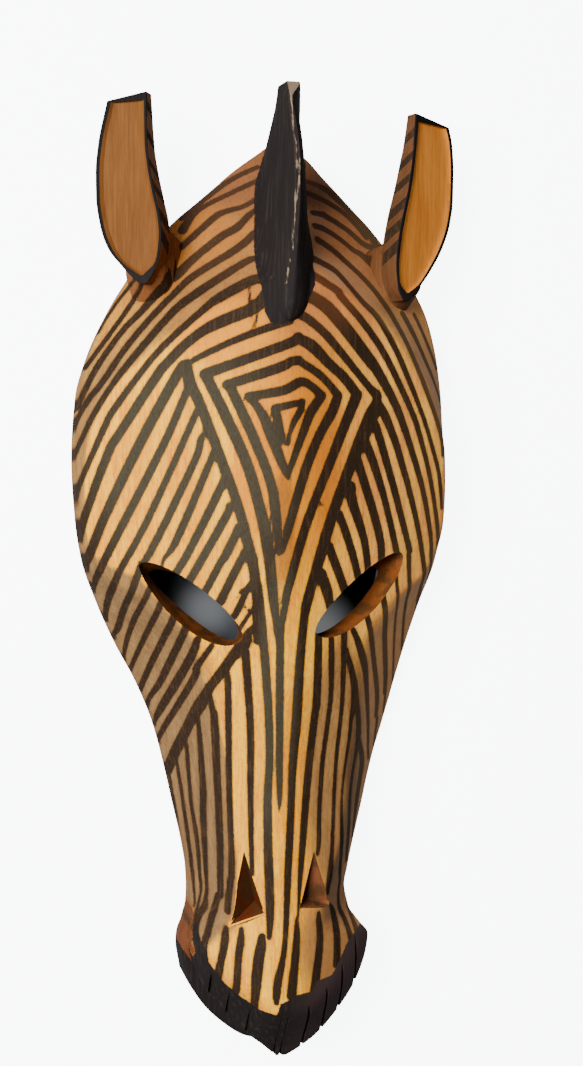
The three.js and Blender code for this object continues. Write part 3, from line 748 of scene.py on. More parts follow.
DIAMOND = [
    [(-50.5, 109.5, 2.5), (-39.5, 115.5, 3.4), (-22, 123.5, 3.7), (1.5, 132, 4.5)],
    [(-49, 110.5, 4.9), (-47.5, 100.5, 6.3), (-43, 91, 5.4), (-31.5, 60, 5.3), (-24.5, 40.5, 5),
     (-19, 20.5, 5.3), (-14.5, -2, 4.8), (-12.5, -30, 5.4)],
    [(4.5, 136, 5.2), (11.5, 133, 4.8), (22.5, 124.5, 4.8), (44, 102.5, 4.2), (51, 96, 5.9)],
    [(51, 97, 4.8), (50.5, 91, 6.6), (46.5, 83, 8.4), (33, 53, 6.4), (22, 23, 6.1), (12.5, -11.5, 5.3),
     (10.5, -22.5, 4.5)],
    [(6, 123.5, 5.8), (-1, 119.5, 5.3), (-40.5, 105, 5.3)],
    [(-40, 105, 5.4), (-21.5, 64.5, 5.7), (-14, 40.5, 5.6), (-9, 18.5, 6.2), (-3, -27.5, 3.5)],
    [(6, 123, 5.2), (13.5, 119.5, 6.5), (22.5, 111.5, 5.6), (31.5, 104.5, 5.7), (39, 96, 5.8)],
    [(39, 96, 6.3), (19.5, 50.5, 5.2), (10, 26, 5.2), (1.5, -5, 4.7), (0, -15.5, 2.6), (-1, -35, 2)],
    [(6.5, 112, 4.8), (1.5, 111, 4.8), (-4, 108, 5.3), (-29.5, 99.5, 5.1)],
    [(-28.5, 99.5, 5.3), (-17, 74, 5.2), (-8, 50.5, 5.1), (-5.5, 36.5, 5.4), (-3, 15, 4)],
    [(6.5, 111.5, 4.3), (16.5, 106, 4.3), (23, 100.5, 4.2), (28, 95, 5)],
    [(28, 95, 5.3), (25, 87, 5.8), (17.5, 74, 5.3), (10, 56, 5.4), (1, 26, 4.6), (-1, 15, 1.5)],
    [(-19, 93.5, 4.5), (-2, 96.5, 5), (7, 101, 4.9), (12.5, 99.5, 4.4), (19, 94.5, 4.9)],
    [(-19, 93.5, 4.5), (-15.5, 89.5, 4.2), (-11.5, 83, 5.1), (-8, 74.5, 5.9), (-2, 59, 4.6),
     (1, 52.5, 2.6)],
    [(19, 94.5, 4.8), (14.5, 88.5, 5.6), (11.5, 83, 5.1), (0.5, 53.5, 3.1)],
    [(-5.5, 87.5, 4.5), (8, 91, 3)],
    [(-6, 87, 4.9), (-2.5, 71.5, 4.5)],
    [(8, 91, 3.8), (7, 86.5, 3.8), (3.5, 80.5, 3.4), (1.5, 74.5, 2.2), (0.5, 70, 3.1)],
]
NOSE = [
    [(-18.5, -36.5, 4.4), (-15, -72, 3.9), (-14, -93, 3.7), (-13, -152.5, 2.4)],
    [(-27.5, -47, 3.3), (-26, -61.5, 3.4), (-23, -145.5, 3), (-23, -156.5, 2.8), (-24.5, -173.5, 2.8)],
    [(-36, -54, 1.6), (-34.5, -59, 2.2), (-33, -67.5, 2.7), (-31.5, -78, 3.7), (-27, -158.5, 2.6),
     (-28, -166.5, 2.6), (-30, -174, 2.8), (-36, -188, 3.1), (-37.5, -194, 4.5)],
    [(-41, -67, 1.5), (-39, -72.5, 2), (-36, -106, 2.9), (-35, -127.5, 2.8), (-32.5, -160.5, 1.7),
     (-33, -169, 1.8), (-34, -173.5, 2.8), (-36, -176.5, 2.7), (-38.5, -180.5, 2.8), (-40, -184.5, 3.1),
     (-40, -189.5, 3.3)],
    [(-46, -82, 1.5), (-43.5, -88.5, 2), (-40.5, -118, 1.6), (-37, -140, 1.9), (-35, -161.5, 1.5),
     (-35.5, -169.5, 1.2), (-39, -179, 1.3)],
    [(-49.5, -94, 1.4), (-47, -100, 1.6), (-39, -152, 1.7), (-38, -170.5, 1.1), (-39, -175, 0.9)],
    [(-52, -100, 1.2), (-50.5, -105, 1.3), (-41.5, -153, 0.9), (-40.5, -163.5, 0.7)],
    [(-19.5, 21, 5.4), (-15.5, 11, 3.8), (-14.5, 0.5, 4.8), (-12.5, -9.5, 4.6), (-6.5, -61.5, 4.4),
     (-4.5, -93, 4.2), (-5, -114, 4.5), (-4.5, -165.5, 4.8), (-5.5, -184, 2.5)],
    [(-10, 21, 4.9), (-8, 11, 4.9), (-7, 0.5, 5.1), (-5.5, -9.5, 5.1), (-2.5, -30, 3), (-1.5, -40.5, 3.6)],
    [(1, -9.5, 4.1), (-0.5, -19.5, 3.4), (-1.5, -30, 4.3), (1, -103.5, 3.7), (1, -120.5, 0.4)],
    [(22, 21, 6), (12.5, -9.5, 5.5), (11, -20, 4.9), (9.5, -40.5, 5.2), (9, -72, 5.6), (8, -93.5, 4.9),
     (7.5, -114.5, 4.2), (6, -145.5, 4.3), (2.5, -187.5, 3), (-1, -205.5, 4.6), (-2, -213.5, 4.2),
     (-2, -217.5, 2.7)],
    [(19, -26.5, 2.4), (19.5, -30.5, 4.3), (20, -62, 4.8), (19, -73, 4.5), (14, -136, 4.1),
     (10.5, -172, 1.4), (9.5, -176, 2.1), (9, -186, 4.2), (6, -214, 5.5)],
    [(26.7, -27.5, 3.1), (27.5, -41.5, 3.6), (28, -62.5, 2.9), (25, -94.5, 2.9), (23.5, -126.5, 2.7),
     (23.5, -137, 2.7), (22.5, -144, 2.3)],
    [(34.3, -27, 3.9), (35, -63, 2.7), (33, -95, 2.4), (31.5, -138, 2.3), (29.5, -158.5, 4),
     (29, -165.5, 2.9)],
    [(36, -36.5, 2.9), (41.5, -53, 4.3), (43, -63.5, 5.1), (41, -74.5, 2.6), (40.5, -85, 2.3),
     (37, -117, 1.5), (38.5, -150.5, 3.7), (41, -164, 2.6), (39, -171, 2.3), (38, -176, 2.7),
     (40, -182, 3), (42, -191.5, 3.3)],
    [(44, -63, 3.6), (46.5, -75, 3.8), (47.5, -86.5, 4.4), (46, -97, 2.9), (44, -107.5, 2.6),
     (43, -118.5, 2.7), (45, -142, 3.9), (46.5, -155, 2.8)],
    [(48.5, -86.5, 3), (53.5, -99.5, 4.7), (52.5, -110.5, 4.7), (51, -121.5, 4.4), (51, -142.5, 2.6)],
    [(44.5, -177, 1.2), (46, -187, 3.1)],
]
EYE_CORNER = [
    [(-13, -24, 6.2), (-17, -26, 4.1), (-20, -33, 7.5), (-25, -39, 5.5), (-28.5, -45, 5.5),
     (-34.5, -55.5, 4.6), (-38.5, -65.5, 6), (-42.5, -75.5, 4.9), (-49, -95.5, 4.9), (-51, -105, 3.8)],
    [(-21.5, -5.5, 2.5), (-17.5, -3.5, 4), (-15, 1.5, 4)],
    [(-26.5, -20.5, 2.5), (-23, -15, 3.7), (-18, -2.5, 2.9)],
    [(-13, -9.5, 1.5), (-21.5, -24, 2.5)],
]
LEFT_CHEEK = [
    [(-80, -32, 1.6), (-80.5, -29, 2.5), (-79, -26, 3.4), (-76.5, -12.5, 3.6), (-70.5, 7, 3.8)],
    [(-74, -46.5, 1.4), (-75, -38, 2.3), (-71.5, -19.5, 3.1), (-64.8, -1.5, 3.3)],
    [(-70, -54.5, 1.4), (-71, -47, 2.4), (-59, -7.5, 3.6)],
    [(-65, -65, 1.2), (-65.5, -57.5, 3), (-52.8, -15.5, 3.8)],
    [(-62, -72.5, 1.8), (-61.5, -64.5, 2.6), (-56, -52, 3.7), (-47.4, -22.5, 4)],
    [(-57.5, -80, 0.8), (-58, -77, 1.9), (-55, -67.5, 4.1), (-45, -42.5, 4.5), (-42, -30, 3.7)],
    [(-55, -89.5, 0.7), (-55, -83.5, 2.7), (-42, -51.5, 3.7), (-41, -45, 3.4), (-35, -33, 2.9)],
]
RIGHT_CHEEK = [
    [(39.5, -26, 3), (42.5, -31.5, 3.8), (47.5, -42.5, 5), (51, -54, 4), (57.5, -89, 2.3),
     (60, -100, 2)],
    [(56.9, -7, 3.8), (67, -50, 3.9), (68.5, -63.5, 2.8)],
    [(47.4, -18, 3.4), (61, -60, 3.8), (62.5, -75.5, 3)],
    [(79.5, -40, 1.9), (74.5, -5.5, 2.6), (73, 13.5, 3.2)],
    [(74, -65, 1.1), (74.5, -54, 1.5), (64.7, 4, 2.3)],
    [(69.5, -62.5, 1.9), (69.5, -75, 1.5)],
    [(64, -77.5, 2.2), (64.5, -93.5, 1.5)],
]
MUZZLE = [
    [(-26, -181, 2.4), (-27, -186.5, 4), (-29, -197, 3.7), (-30.5, -208.5, 4.5)],
    [(-19, -180, 2.1), (-19.5, -185.5, 3.8), (-21, -196, 3.8), (-21.5, -213.5, 3.6)],
    [(-9, -183.5, 3.7), (-10, -190, 5.6), (-11, -195.5, 5.7), (-12, -205.5, 5.6), (-12.5, -216.5, 4.1),
     (-12, -221.5, 3.6)],
    [(22, -173.5, 1.6), (22, -177.5, 3.5), (22.5, -188, 4.3), (19, -213, 5.3)],
    [(30.5, -172.5, 1.6), (32, -175.5, 3.6), (33, -180.5, 4.1), (33, -195, 4.5), (32.5, -202, 4.5)],
]
CRACKS = [
    [(-18.2, 155, 0.5), (-18.3, 149, 1.1), (-18.4, 142, 1.5), (-17.4, 136, 1.1), (-17, 127, 0.4)],
    [(-15, 140, 1), (-15, 134, 1.4), (-16, 129, 0.9), (-16.6, 124, 0.5)],
    [(-16.5, 141, 3.5), (-14, 139, 4)],
    [(-23.5, -8, 0.5), (-20, -12, 1), (-17.9, -14.6, 1), (-13.9, -19.8, 0.5)],
    [(18.2, 39.8, 1.7), (19.6, 39, 1.4)], [(-0.1, -83, 1.6), (0, -83.2, 1.6)],
]
BLOBS = [[(62, 178.5, 3), (71, 178, 4)], [(61, 187, 1.5), (63, 181, 2), (60, 174.5, 1.2)]]
STROKES = (CROWN_ARCHES + LEFT_BROW + RIGHT_BROW + DIAMOND + NOSE + EYE_CORNER + LEFT_CHEEK
           + RIGHT_CHEEK + MUZZLE + CRACKS + BLOBS)
print(len(STROKES), "strokes")


# %% How far a point is from the burnt wood
FAR = 6.0  # millimetres, farther than any soft border reaches


def to_strokes(points, strokes):
    """Distance to the edge of the nearest stroke, seen from the front, and negative inside it."""
    best = np.full(len(points), FAR)
    for stroke in strokes:
        path = smooth_path(stroke, 4)
        for start, end in zip(path[:-1], path[1:]):
            lean = end[:2] - start[:2]
            reach = 1.5 * FAR + np.abs(lean) / 2
            near = np.flatnonzero((np.abs(points[:, :2] - start[:2] - lean / 2) < reach).all(1))
            offset = points[near, :2] - start[:2]
            along = np.clip(offset @ lean / (lean @ lean + 1e-9), 0, 1)
            gap = np.hypot(*(offset - along[:, None] * lean).T)
            best[near] = np.minimum(best[near], gap - (start[2] + along * (end[2] - start[2])) / 2)
    return best


def to_field(points, corners):
    """Distance to the border of a closed field of the face, negative inside it."""
    corners = np.asarray(corners, dtype=float)
    best, inside = np.full(len(points), 1e3), np.zeros(len(points), dtype=bool)
    x, y = points[:, 0], points[:, 1]
    for start, end in zip(corners, np.roll(corners, -1, 0)):
        lean = end - start
        along = np.clip(((x - start[0]) * lean[0] + (y - start[1]) * lean[1]) / (lean @ lean), 0, 1)
        best = np.minimum(best, np.hypot(x - start[0] - along * lean[0], y - start[1] - along * lean[1]))
        cross = start[0] + (y - start[1]) / (lean[1] if lean[1] else 1e-9) * lean[0]
        inside ^= ((start[1] > y) != (end[1] > y)) & (x < cross)
    return np.where(inside, -best, best)


# %% [markdown]
# ## Marking out the colours on the carving
# Seven marks go on the carving. Three are distances: to the edge of a burnt stripe, of wood painted
# black, and of the crest's rubbed top. A fourth is the distance to the left flank that is painted in
# shade, and the rest say how brown the staining is, with painted light and shade on some parts, how
# level the surface lies, which sets painted shade on steep sides, and where the wood is raw.
# They are written on the corners of the faces, so a border between two surfaces stays sharp.

# %% Stripes and rims of the ears
# How far up the leaf each bar sits, and its width
EAR_BARS = {-1: [(92.5, 4.5), (77.5, 4.5), (62.5, 4), (50.5, 4.8), (36, 6.4), (25, 6.4)],
            1: [(105, 4.5), (92, 5), (79, 5), (67, 5.4), (53, 6.8), (41, 7.4), (29, 7.4)]}
BAR_SLANT, BARS_END, RIM_FRONT = 0.62, 11, 0.7


def ear_marks(points, ear):
    """Distance to the burnt bars on the edge of an ear, and which points lie on its black front rim."""
    turn = math.radians(ear["turn"])
    out = ear["side"] * (points[:, 0] - ear["at"][0])
    behind = ear["at"][1] - points[:, 2]
    across = out * math.cos(turn) + behind * math.sin(turn)
    back = behind * math.cos(turn) - out * math.sin(turn)
    up = points[:, 1] - ear["foot"]
    bars = np.full(len(points), FAR)
    for place, width in EAR_BARS[ear["side"]]:
        bars = np.minimum(bars, np.abs(up - place + BAR_SLANT * back) - width / 2)
    on_rim = back < RIM_FRONT
    return np.select([back > BARS_END, on_rim], [FAR, -FAR / 2], bars), on_rim


# %% The fields of black and stain
LIP_EDGE = [(-39, -180.8), (-38.6, -186.4), (-37.2, -190.5), (-35.5, -193.2), (-34.5, -198.8),
            (-31.2, -203.6), (-26.1, -209.9), (-19.7, -215.3), (-15.2, -218.2), (-9.7, -222.3),
            (-1.3, -224.5), (0, -218.2), (9, -214.2), (17.5, -213.4), (20.5, -208.7), (29.6, -207.3),
            (34.7, -200), (40.1, -191.8), (45.7, -187.5), (60, -181)]
JAW_CORNER = [(-41.7, -174.4), (-39.5, -176.3), (-38.8, -179.7), (-41, -183.9), (-42.1, -189.2),
              (-40.8, -195), (-42.9, -200.6), (-60, -206), (-64, -172)]
LIP_FIELD = LIP_EDGE + [(90, -200), (60, -270), (-60, -270), (-60, -206)] + JAW_CORNER[6:1:-1]
JAW_FIELD = [(-60, -189), (-47.5, -194), (-39.5, -205.1), (0, -190), (35, -178), (80, -170), (80, -270),
             (-60, -270)]
CREST_FIELD = [(2.4, 234.3), (-0.3, 229.1), (-3.6, 220.1), (-5.8, 214), (-7.2, 208), (-8.9, 195.7),
               (-11.8, 177), (-12.7, 171), (-13.4, 163.6), (-13.6, 155.8), (-12.9, 148.8),
               (-11.5, 142.2), (-11, 136.1), (-8.6, 131), (-2.6, 129.6), (4.1, 132.3), (8.9, 140.6),
               (12.7, 145.3), (14.9, 150.6), (15.1, 155.8), (15.2, 163.7), (16, 171.3), (17.5, 186.8),
               (18.6, 195.4), (21.1, 211.2), (23.3, 227)]
CREST_RUB = [(-0.4, 243, 0.2), (0.2, 232, 0.1), (1.6, 220, 0.1), (2.6, 208, 0.4), (2.2, 196, 0.7),
             (1.4, 182, 0), (0.6, 165, 0), (-1.6, 150, 0)]
FLANK_FIELD = [(-102.2, 20.9), (-95.1, 14.7), (-84.4, 7.5), (-70.6, 1.4), (-58.3, -13), (-43.2, -30.5),
               (-38.1, -47.5), (-32.8, -64.8), (-28.4, -80.2), (-24.5, -95.9), (-22.6, -114.4), (-21, -137.6),
               (-20, -146.4), (-21.6, -161.5), (-23.4, -173.3), (-25.8, -180.1), (-34, -190), (-46, -186),
               (-60, -180), (-80, -100), (-120, -20), (-120, 20)]

points = points_of(mask)
corner = read(mask.data.loops, "vertex_index", whole=True)
sides = read(mask.data.polygons, "loop_total", whole=True)
kind = np.repeat(np.rint(read(mask.data.attributes["kind"].data, "value")).astype(int), sides)
print({name: int((kind == k).sum()) for k, name in enumerate(
    "front crest ear root jaw dish lid nostril crease inside".split())}, "corners")


# %% Writing the marks on the corners
# How brown each stained part is, on its left and on its right, as a place on the ramp. The ear sides
# and roots are painted darker as shade, and the two sides of the roots, ear sides, dishes and
# nostrils differ as painted light and shade.
STAINS_AND_SHADE = {ROOT: (0.2, 0.25), EAR: (0.3, 0.36), DISH: (0.56, 0.46), JAW: (0.62, 0.62), LID: (0.8, 0.8),
          NOSTRIL: (1.0, 0.9)}
# The sawn facet of the forelock, and how far inside the rubbed border it counts as lying
SAW_MARGIN, SAWN_BARE = 0.06, -1.4
BACKWARDS, NEAR_TABLE = -0.95, 0.3


def note(name, values):
    mask.data.attributes.new(name, "FLOAT", "CORNER").data.foreach_set("value", values)


def by_side(left, right):
    """One value on the left half of the mask, another on the right."""
    return np.where(points[:, 0] < 0, left, right)


(left_ink, left_rim), (right_ink, right_rim) = (ear_marks(points, ear) for ear in EARS)
on_ear, on_rim = by_side(left_ink, right_ink), by_side(left_rim, right_rim)
ink = np.select([np.isin(kind, (FRONT, ROOT, CREASE)), kind == EAR],
                [to_strokes(points, STROKES)[corner], on_ear[corner]], FAR)
facing = np.repeat(read(mask.data.polygon_normals, "vector", 3)[:, 2], sides)
flat_back = (facing < BACKWARDS) & (points[corner, 2] < NEAR_TABLE)
note("ink", np.where(flat_back, FAR, ink))

on_face = np.minimum(to_field(points, LIP_FIELD), to_field(points, CREST_FIELD))
all_black = (kind == CREST) | ((kind == EAR) & on_rim[corner])
black = np.select([np.isin(kind, (FRONT, CREASE)), kind == JAW, all_black],
                  [on_face[corner], to_field(points, JAW_FIELD)[corner], -FAR], FAR)
note("black", np.where(flat_back, FAR, np.clip(black, -FAR, FAR)))

past_saw = points[:, 1] - SAWN_TOP[0]
sawn = (past_saw > 0) & (points[:, 2] > SAWN_TOP[1] - SAWN_SLANT * past_saw - SAW_MARGIN)
rubbed = np.where(sawn, SAWN_BARE, to_strokes(points, [CREST_RUB]))
note("rubbed", np.where(kind == CREST, rubbed[corner], FAR))

stain_and_shade = np.where(to_field(points, JAW_CORNER)[corner] < 0, STAINS_AND_SHADE[JAW][0], 0.0)
for part, (left, right) in STAINS_AND_SHADE.items():
    stain_and_shade = np.where(kind == part, by_side(left, right)[corner], stain_and_shade)
note("stain_and_shade", stain_and_shade)

# How level the surface lies; the finish uses it to paint shade on the steep sides
level = read(mask.data.vertex_normals, "vector", 3)[:, 2]
note("upright", np.where(kind == FRONT, level[corner], 1.0))
# Distance to the left flank below the eye and beside the nose, which the finish paints in shade
on_flank = np.clip(to_field(points, FLANK_FIELD), -FAR, FAR)
note("flank", np.where(kind == FRONT, on_flank[corner], FAR))
note("raw", np.where((kind == INSIDE) | flat_back, 1.0, 0.0))
print("marks written on", len(corner), "corners")

# %% [markdown]
# ## Wood, burning and varnish
# One board, one material. The pale wood has long fibres down the mask and broad warmer bands. The
# iron leaves a nearly black line with a brown edge and some fibres that stay lighter. The crest and
# the lip are blackened all over, and the crest is rubbed bare on its ridge. A thin varnish lies
# over the front, and the hollow is left raw.


# %% Tools for mixing the finish
def add(tree, kind, feed=None, **setup):
    """Adds a node, sets it up and feeds its sockets with plain values or with other nodes."""
    made = tree.nodes.new("ShaderNode" + kind)
    for name, value in setup.items():
        setattr(made, name, value)
    for socket, value in (feed or {}).items():
        if isinstance(value, bpy.types.NodeSocket):
            tree.links.new(value, made.inputs[socket])
        else:
            made.inputs[socket].default_value = value
    return made


def shade(red, green, blue):
    """A colour as a paint chart gives it, turned into light."""
    return tuple(((c / 255 + 0.055) / 1.055) ** 2.4 if c > 10 else c / 255 / 12.92
                 for c in (red, green, blue)) + (1.0,)


wood = bpy.data.materials.new("carved_wood")
wood.use_nodes = True
tree = wood.node_tree


def noise(scale, stretch=(1, 1, 1), detail=3, rough=0.55):
    """Noise at so many waves a millimetre, drawn out along the mask where stretch says so."""
    place = add(tree, "VectorMath", {0: millimetres, 1: stretch}, operation="MULTIPLY")
    return add(tree, "TexNoise", {"Vector": place.outputs[0], "Scale": scale, "Detail": detail,
                                  "Roughness": rough}).outputs["Fac"]


def sums(how, a, b, c=None):
    feed = {0: a, 1: b} if c is None else {0: a, 1: b, 2: c}
    return add(tree, "Math", feed, operation=how).outputs[0]


def ease(value, start, end, low=0.0, high=1.0):
    """A soft step from low to high while the value goes from start to end."""
    return add(tree, "MapRange", {"Value": value, "From Min": start, "From Max": end, "To Min": low,
                                  "To Max": high}, interpolation_type="SMOOTHSTEP").outputs[0]


def blend(share, a, b, how="MIX"):
    return add(tree, "Mix", {0: share, 6: a, 7: b}, data_type="RGBA", blend_type=how).outputs[2]


def coats(base, *layers, how="MIX"):
    """Lays colours over the base one after another, each one as far as its share says."""
    for share, colour in layers:
        base = blend(share, base, colour, how)
    return base


def spot(x, y, wide, tall, most=1.0):
    """A soft oval patch on the face."""
    off = add(tree, "VectorMath", {0: millimetres, 1: (x, y, 0)}, operation="SUBTRACT").outputs[0]
    off = add(tree, "VectorMath", {0: off, 1: (1 / wide, 1 / tall, 0)}, operation="MULTIPLY").outputs[0]
    return ease(add(tree, "VectorMath", {0: off}, operation="LENGTH").outputs["Value"], 1, 0.55, 0, most)


def marked(name):
    return add(tree, "Attribute", attribute_name=name).outputs["Fac"]


# %% Pale wood
PALE, HONEY = shade(246, 181, 34), shade(214, 134, 22)
AMBER, FIBRE = shade(186, 106, 24), shade(176, 102, 26)
CROWN_LEFT, CROWN_RIGHT, CROWN_TIP = shade(152, 90, 36), shade(166, 100, 58), shade(102, 64, 44)
UMBER, MUZZLE_TAN, STEEP_RIGHT_SHADE = shade(112, 66, 30), shade(142, 99, 60), shade(184, 138, 98)
COOLER, SMUDGED, SHADED = (0, 0.012, 0.05, 1), (0.62, 0.46, 0.38, 1), (0.78, 0.7, 0.8, 1)
where = add(tree, "TexCoord").outputs["Object"]
millimetres = add(tree, "VectorMath", {0: where, 1: (1000, 1000, 1000)}, operation="MULTIPLY").outputs[0]
across, down = add(tree, "SeparateXYZ", {0: millimetres}).outputs[:2]
grain = noise(0.85, (1, 0.05, 1), 5, 0.62)
hairs = noise(2.6, (1, 0.06, 1), 3, 0.6)
bands = noise(0.11, (1, 0.16, 1), 2)
tone = sums("MULTIPLY_ADD", grain, 0.45, sums("MULTIPLY_ADD", bands, 0.35, sums("MULTIPLY", hairs, 0.2)))
warm = ease(tone, 0.38, 0.62)
# The crown's painted shade, darker on its left than on its right
crown = blend(ease(across, -12, 14), CROWN_LEFT, CROWN_RIGHT)
painted_shade_brown = blend(warm, shade(124, 96, 62), shade(100, 76, 49))
right_nose_shade = blend(warm, shade(142, 106, 66), shade(116, 85, 54))
board = coats(blend(warm, PALE, HONEY),
              (ease(noise(2.2, (1, 0.035, 1), 4, 0.7), 0.5, 0.72, 0, 0.5), FIBRE),
              (ease(noise(0.02, detail=2), 0.4, 0.7, 0, 0.3), AMBER))
# Painted shade: a cooler cast is added towards the right side, which lies away from the key light
board = blend(ease(across, 6, 60), board, COOLER, "ADD")
board = coats(board,
              (spot(4, 62, 34, 75, 0.72), AMBER),
              (spot(-1.5, 26, 8, 38, 0.6), UMBER),
              # Painted shade: the crown is painted darker and its tip darker still; a honey patch keeps the
              # upper left brow out of that shade
              (spot(-8, 200, 122, 106, 0.9), crown),
              (spot(-31, 128, 32, 20, 0.65), HONEY),
              (spot(-2, 228, 74, 44, 0.8), CROWN_TIP),
              # Painted shade: steep sides are painted a darker brown on the left and a greyer brown on the
              # right
              (ease(marked("upright"), 0.82, 0.45, 0, 0.85), blend(ease(across, -10, 10), painted_shade_brown, STEEP_RIGHT_SHADE)),
              # Painted shade: the left flank below the eye and beside the nose is painted the same darker
              # brown
              (ease(marked("flank"), 1.2, -2.0, 0, 0.92), painted_shade_brown),
              # Painted shade: the right side of the nose is painted a greyer, darker brown
              (spot(33, -100, 23, 95, 0.88), right_nose_shade),
              (spot(33, -190, 30, 36, 0.85), MUZZLE_TAN))
# Random smudges darken the wood, and a painted shade darkens the brow to the right of the middle
board = coats(board,
              (ease(noise(0.7, (1, 0.4, 1), 4, 0.72), 0.46, 0.72, 0, 0.5), SMUDGED),
              (spot(30, 74, 32, 68, 0.8), SHADED), how="MULTIPLY")

# %% Stained wood of the ears, jaw, lids and nostrils, with painted light and shade
# One brown for each place on the ramp that the marks use. The browns of the ear roots and ear sides
# hold painted shade, and those of the dishes and nostrils differ from side to side as painted light and
# shade.
BROWNS = {0.2: (132, 82, 44), 0.25: (102, 66, 38), 0.3: (128, 78, 42), 0.36: (84, 54, 32),
          0.46: (200, 124, 44), 0.56: (106, 66, 28), 0.62: (98, 54, 28), 0.8: (114, 63, 26),
          0.9: (110, 61, 30), 1.0: (78, 31, 10)}
STREAK, SCORCHED = (0.42, 0.27, 0.18, 1), shade(56, 40, 20)
stain_and_shade = marked("stain_and_shade")
brown = add(tree, "ValToRGB", {"Fac": stain_and_shade})
ramp = brown.color_ramp
for place, colour in BROWNS.items():
    ramp.elements.new(place).color = shade(*colour)
ramp.elements.remove(ramp.elements[0])
streaked = blend(ease(tone, 0.36, 0.66, 0, 0.55), brown.outputs["Color"], STREAK, "MULTIPLY")
blotch = sums("MULTIPLY", ease(noise(0.12, detail=3), 0.42, 0.6, 0, 0.7), ease(stain_and_shade, 0.72, 0.78))
board = blend(ease(stain_and_shade, 0.05, 0.15), board, blend(blotch, streaked, SCORCHED))

# %% Burnt stripes
CHAR, SINGED, SPECKLED, HALO, SHEEN_AND_WEAR = (shade(36, 25, 16), shade(68, 47, 28), shade(88, 66, 40),
                                      shade(100, 62, 24), shade(60, 55, 41))
CROWN_CHAR_LEFT, CROWN_CHAR_RIGHT, STEEP_CHAR = shade(56, 36, 22), shade(82, 46, 25), shade(98, 73, 45)
wander = sums("MULTIPLY_ADD", noise(0.3, detail=2), 0.5, -0.25)
rough_edge = sums("MULTIPLY_ADD", noise(1.2, detail=4, rough=0.75), 0.9, -0.45)
edge = sums("ADD", marked("ink"), sums("ADD", rough_edge, wander))
burnt = ease(edge, 0.36, -0.36)
halo = ease(edge, 1.1, 0.0, 0, 0.32)
spared = ease(noise(0.8, (1, 0.06, 1), 5, 0.65), 0.48, 0.72)
specks = ease(noise(1.4, detail=4, rough=0.75), 0.5, 0.72, 0, 0.35)
# Painted sheen lightens the stripes on the left brow, and wear lightens them along the nose ridge
sheen_and_wear = sums("MAXIMUM", spot(-45, 55, 62, 78, 0.9), spot(-2, -60, 14, 95, 0.9))
sheen_and_wear = sums("MULTIPLY", sheen_and_wear, ease(noise(1.3, (1, 0.3, 1), 4, 0.7), 0.3, 0.62, 0.45, 1))
# Painted light: the stripes on the steep right side are painted lighter and browner
steep = sums("MULTIPLY", ease(across, 34, 60), ease(marked("upright"), 0.95, 0.7))
line = coats(CHAR,
             (spot(-28, 195, 62, 52, 0.8), CROWN_CHAR_LEFT),
             (spot(26, 190, 38, 74, 0.9), CROWN_CHAR_RIGHT),
             (sums("MULTIPLY", spared, 0.75), SINGED),
             (specks, SPECKLED),
             (sheen_and_wear, SHEEN_AND_WEAR),
             (steep, STEEP_CHAR))
board = coats(board, (halo, HALO), (burnt, line))

# %% Blackened crest, lip and rims of the ears
SOOT, EAR_SOOT, PAINTED_LIGHT_LIP = shade(26, 22, 21), shade(17, 14, 13), shade(60, 47, 46)
DULL, BARE = shade(48, 40, 35), shade(118, 100, 80)
painted = ease(sums("ADD", marked("black"), sums("MULTIPLY_ADD", noise(0.6), 1.2, -0.6)), 0.3, -0.3)
streaks = ease(noise(0.5, (1, 0.045, 1), 4, 0.6), 0.48, 0.8)
uneven_rub = sums("MULTIPLY_ADD", noise(0.45, (1, 0.25, 1), 4, 0.7), 6, -2.8)
rub = ease(sums("ADD", marked("rubbed"), uneven_rub), 0.5, -0.3)
aside = sums("ABSOLUTE", across, 0)
on_ears = sums("MULTIPLY", ease(down, 150, 175), ease(aside, 40, 50))
# Painted light: the black lip is painted lighter towards its right
on_lip_right = sums("MULTIPLY", ease(down, -150, -170), ease(across, 0, 30))
soot = coats(SOOT, (on_ears, EAR_SOOT), (on_lip_right, PAINTED_LIGHT_LIP))
dulled = blend(ease(aside, 46, 50), DULL, soot)
board = blend(painted, board, coats(soot, (streaks, dulled), (rub, BARE)))

# %% The raw hollow, the varnish and the feel of the surface
RAW_PALE, RAW_BROWN = shade(196, 150, 98), shade(158, 108, 62)
RAW_ROUGH, SHEEN = 0.8, 0.07
raw = marked("raw")
board = blend(raw, board, blend(ease(tone, 0.4, 0.6), RAW_PALE, RAW_BROWN))
dark = sums("MAXIMUM", burnt, painted)
varnish = sums("MULTIPLY_ADD", grain, 0.3, ease(dark, 0, 1, 0.5, 0.56))
roughness = add(tree, "Mix", {0: raw, 2: varnish, 3: RAW_ROUGH}).outputs[0]
relief = sums("MULTIPLY_ADD", grain, 0.10, sums("MULTIPLY_ADD", hairs, 0.04, sums("MULTIPLY", dark, -0.12)))
feel = add(tree, "Bump", {"Strength": 0.6, "Distance": MM, "Height": relief})
shader = tree.nodes["Principled BSDF"]
tree.links.new(board, shader.inputs["Base Color"])
tree.links.new(roughness, shader.inputs["Roughness"])
tree.links.new(feel.outputs["Normal"], shader.inputs["Normal"])
shader.inputs["Specular IOR Level"].default_value = SHEEN
mask.data.materials.clear()
mask.data.materials.append(wood)
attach(mask, "root")
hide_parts("carved_mask")
print(len(tree.nodes), "nodes in the wood")

# %% [markdown]
# ## Floor, light and camera
# The mask lies on a plain pale floor under a broad soft light. The camera looks down on it from
# slightly to its left, from about ninety centimetres above, as in the photograph.

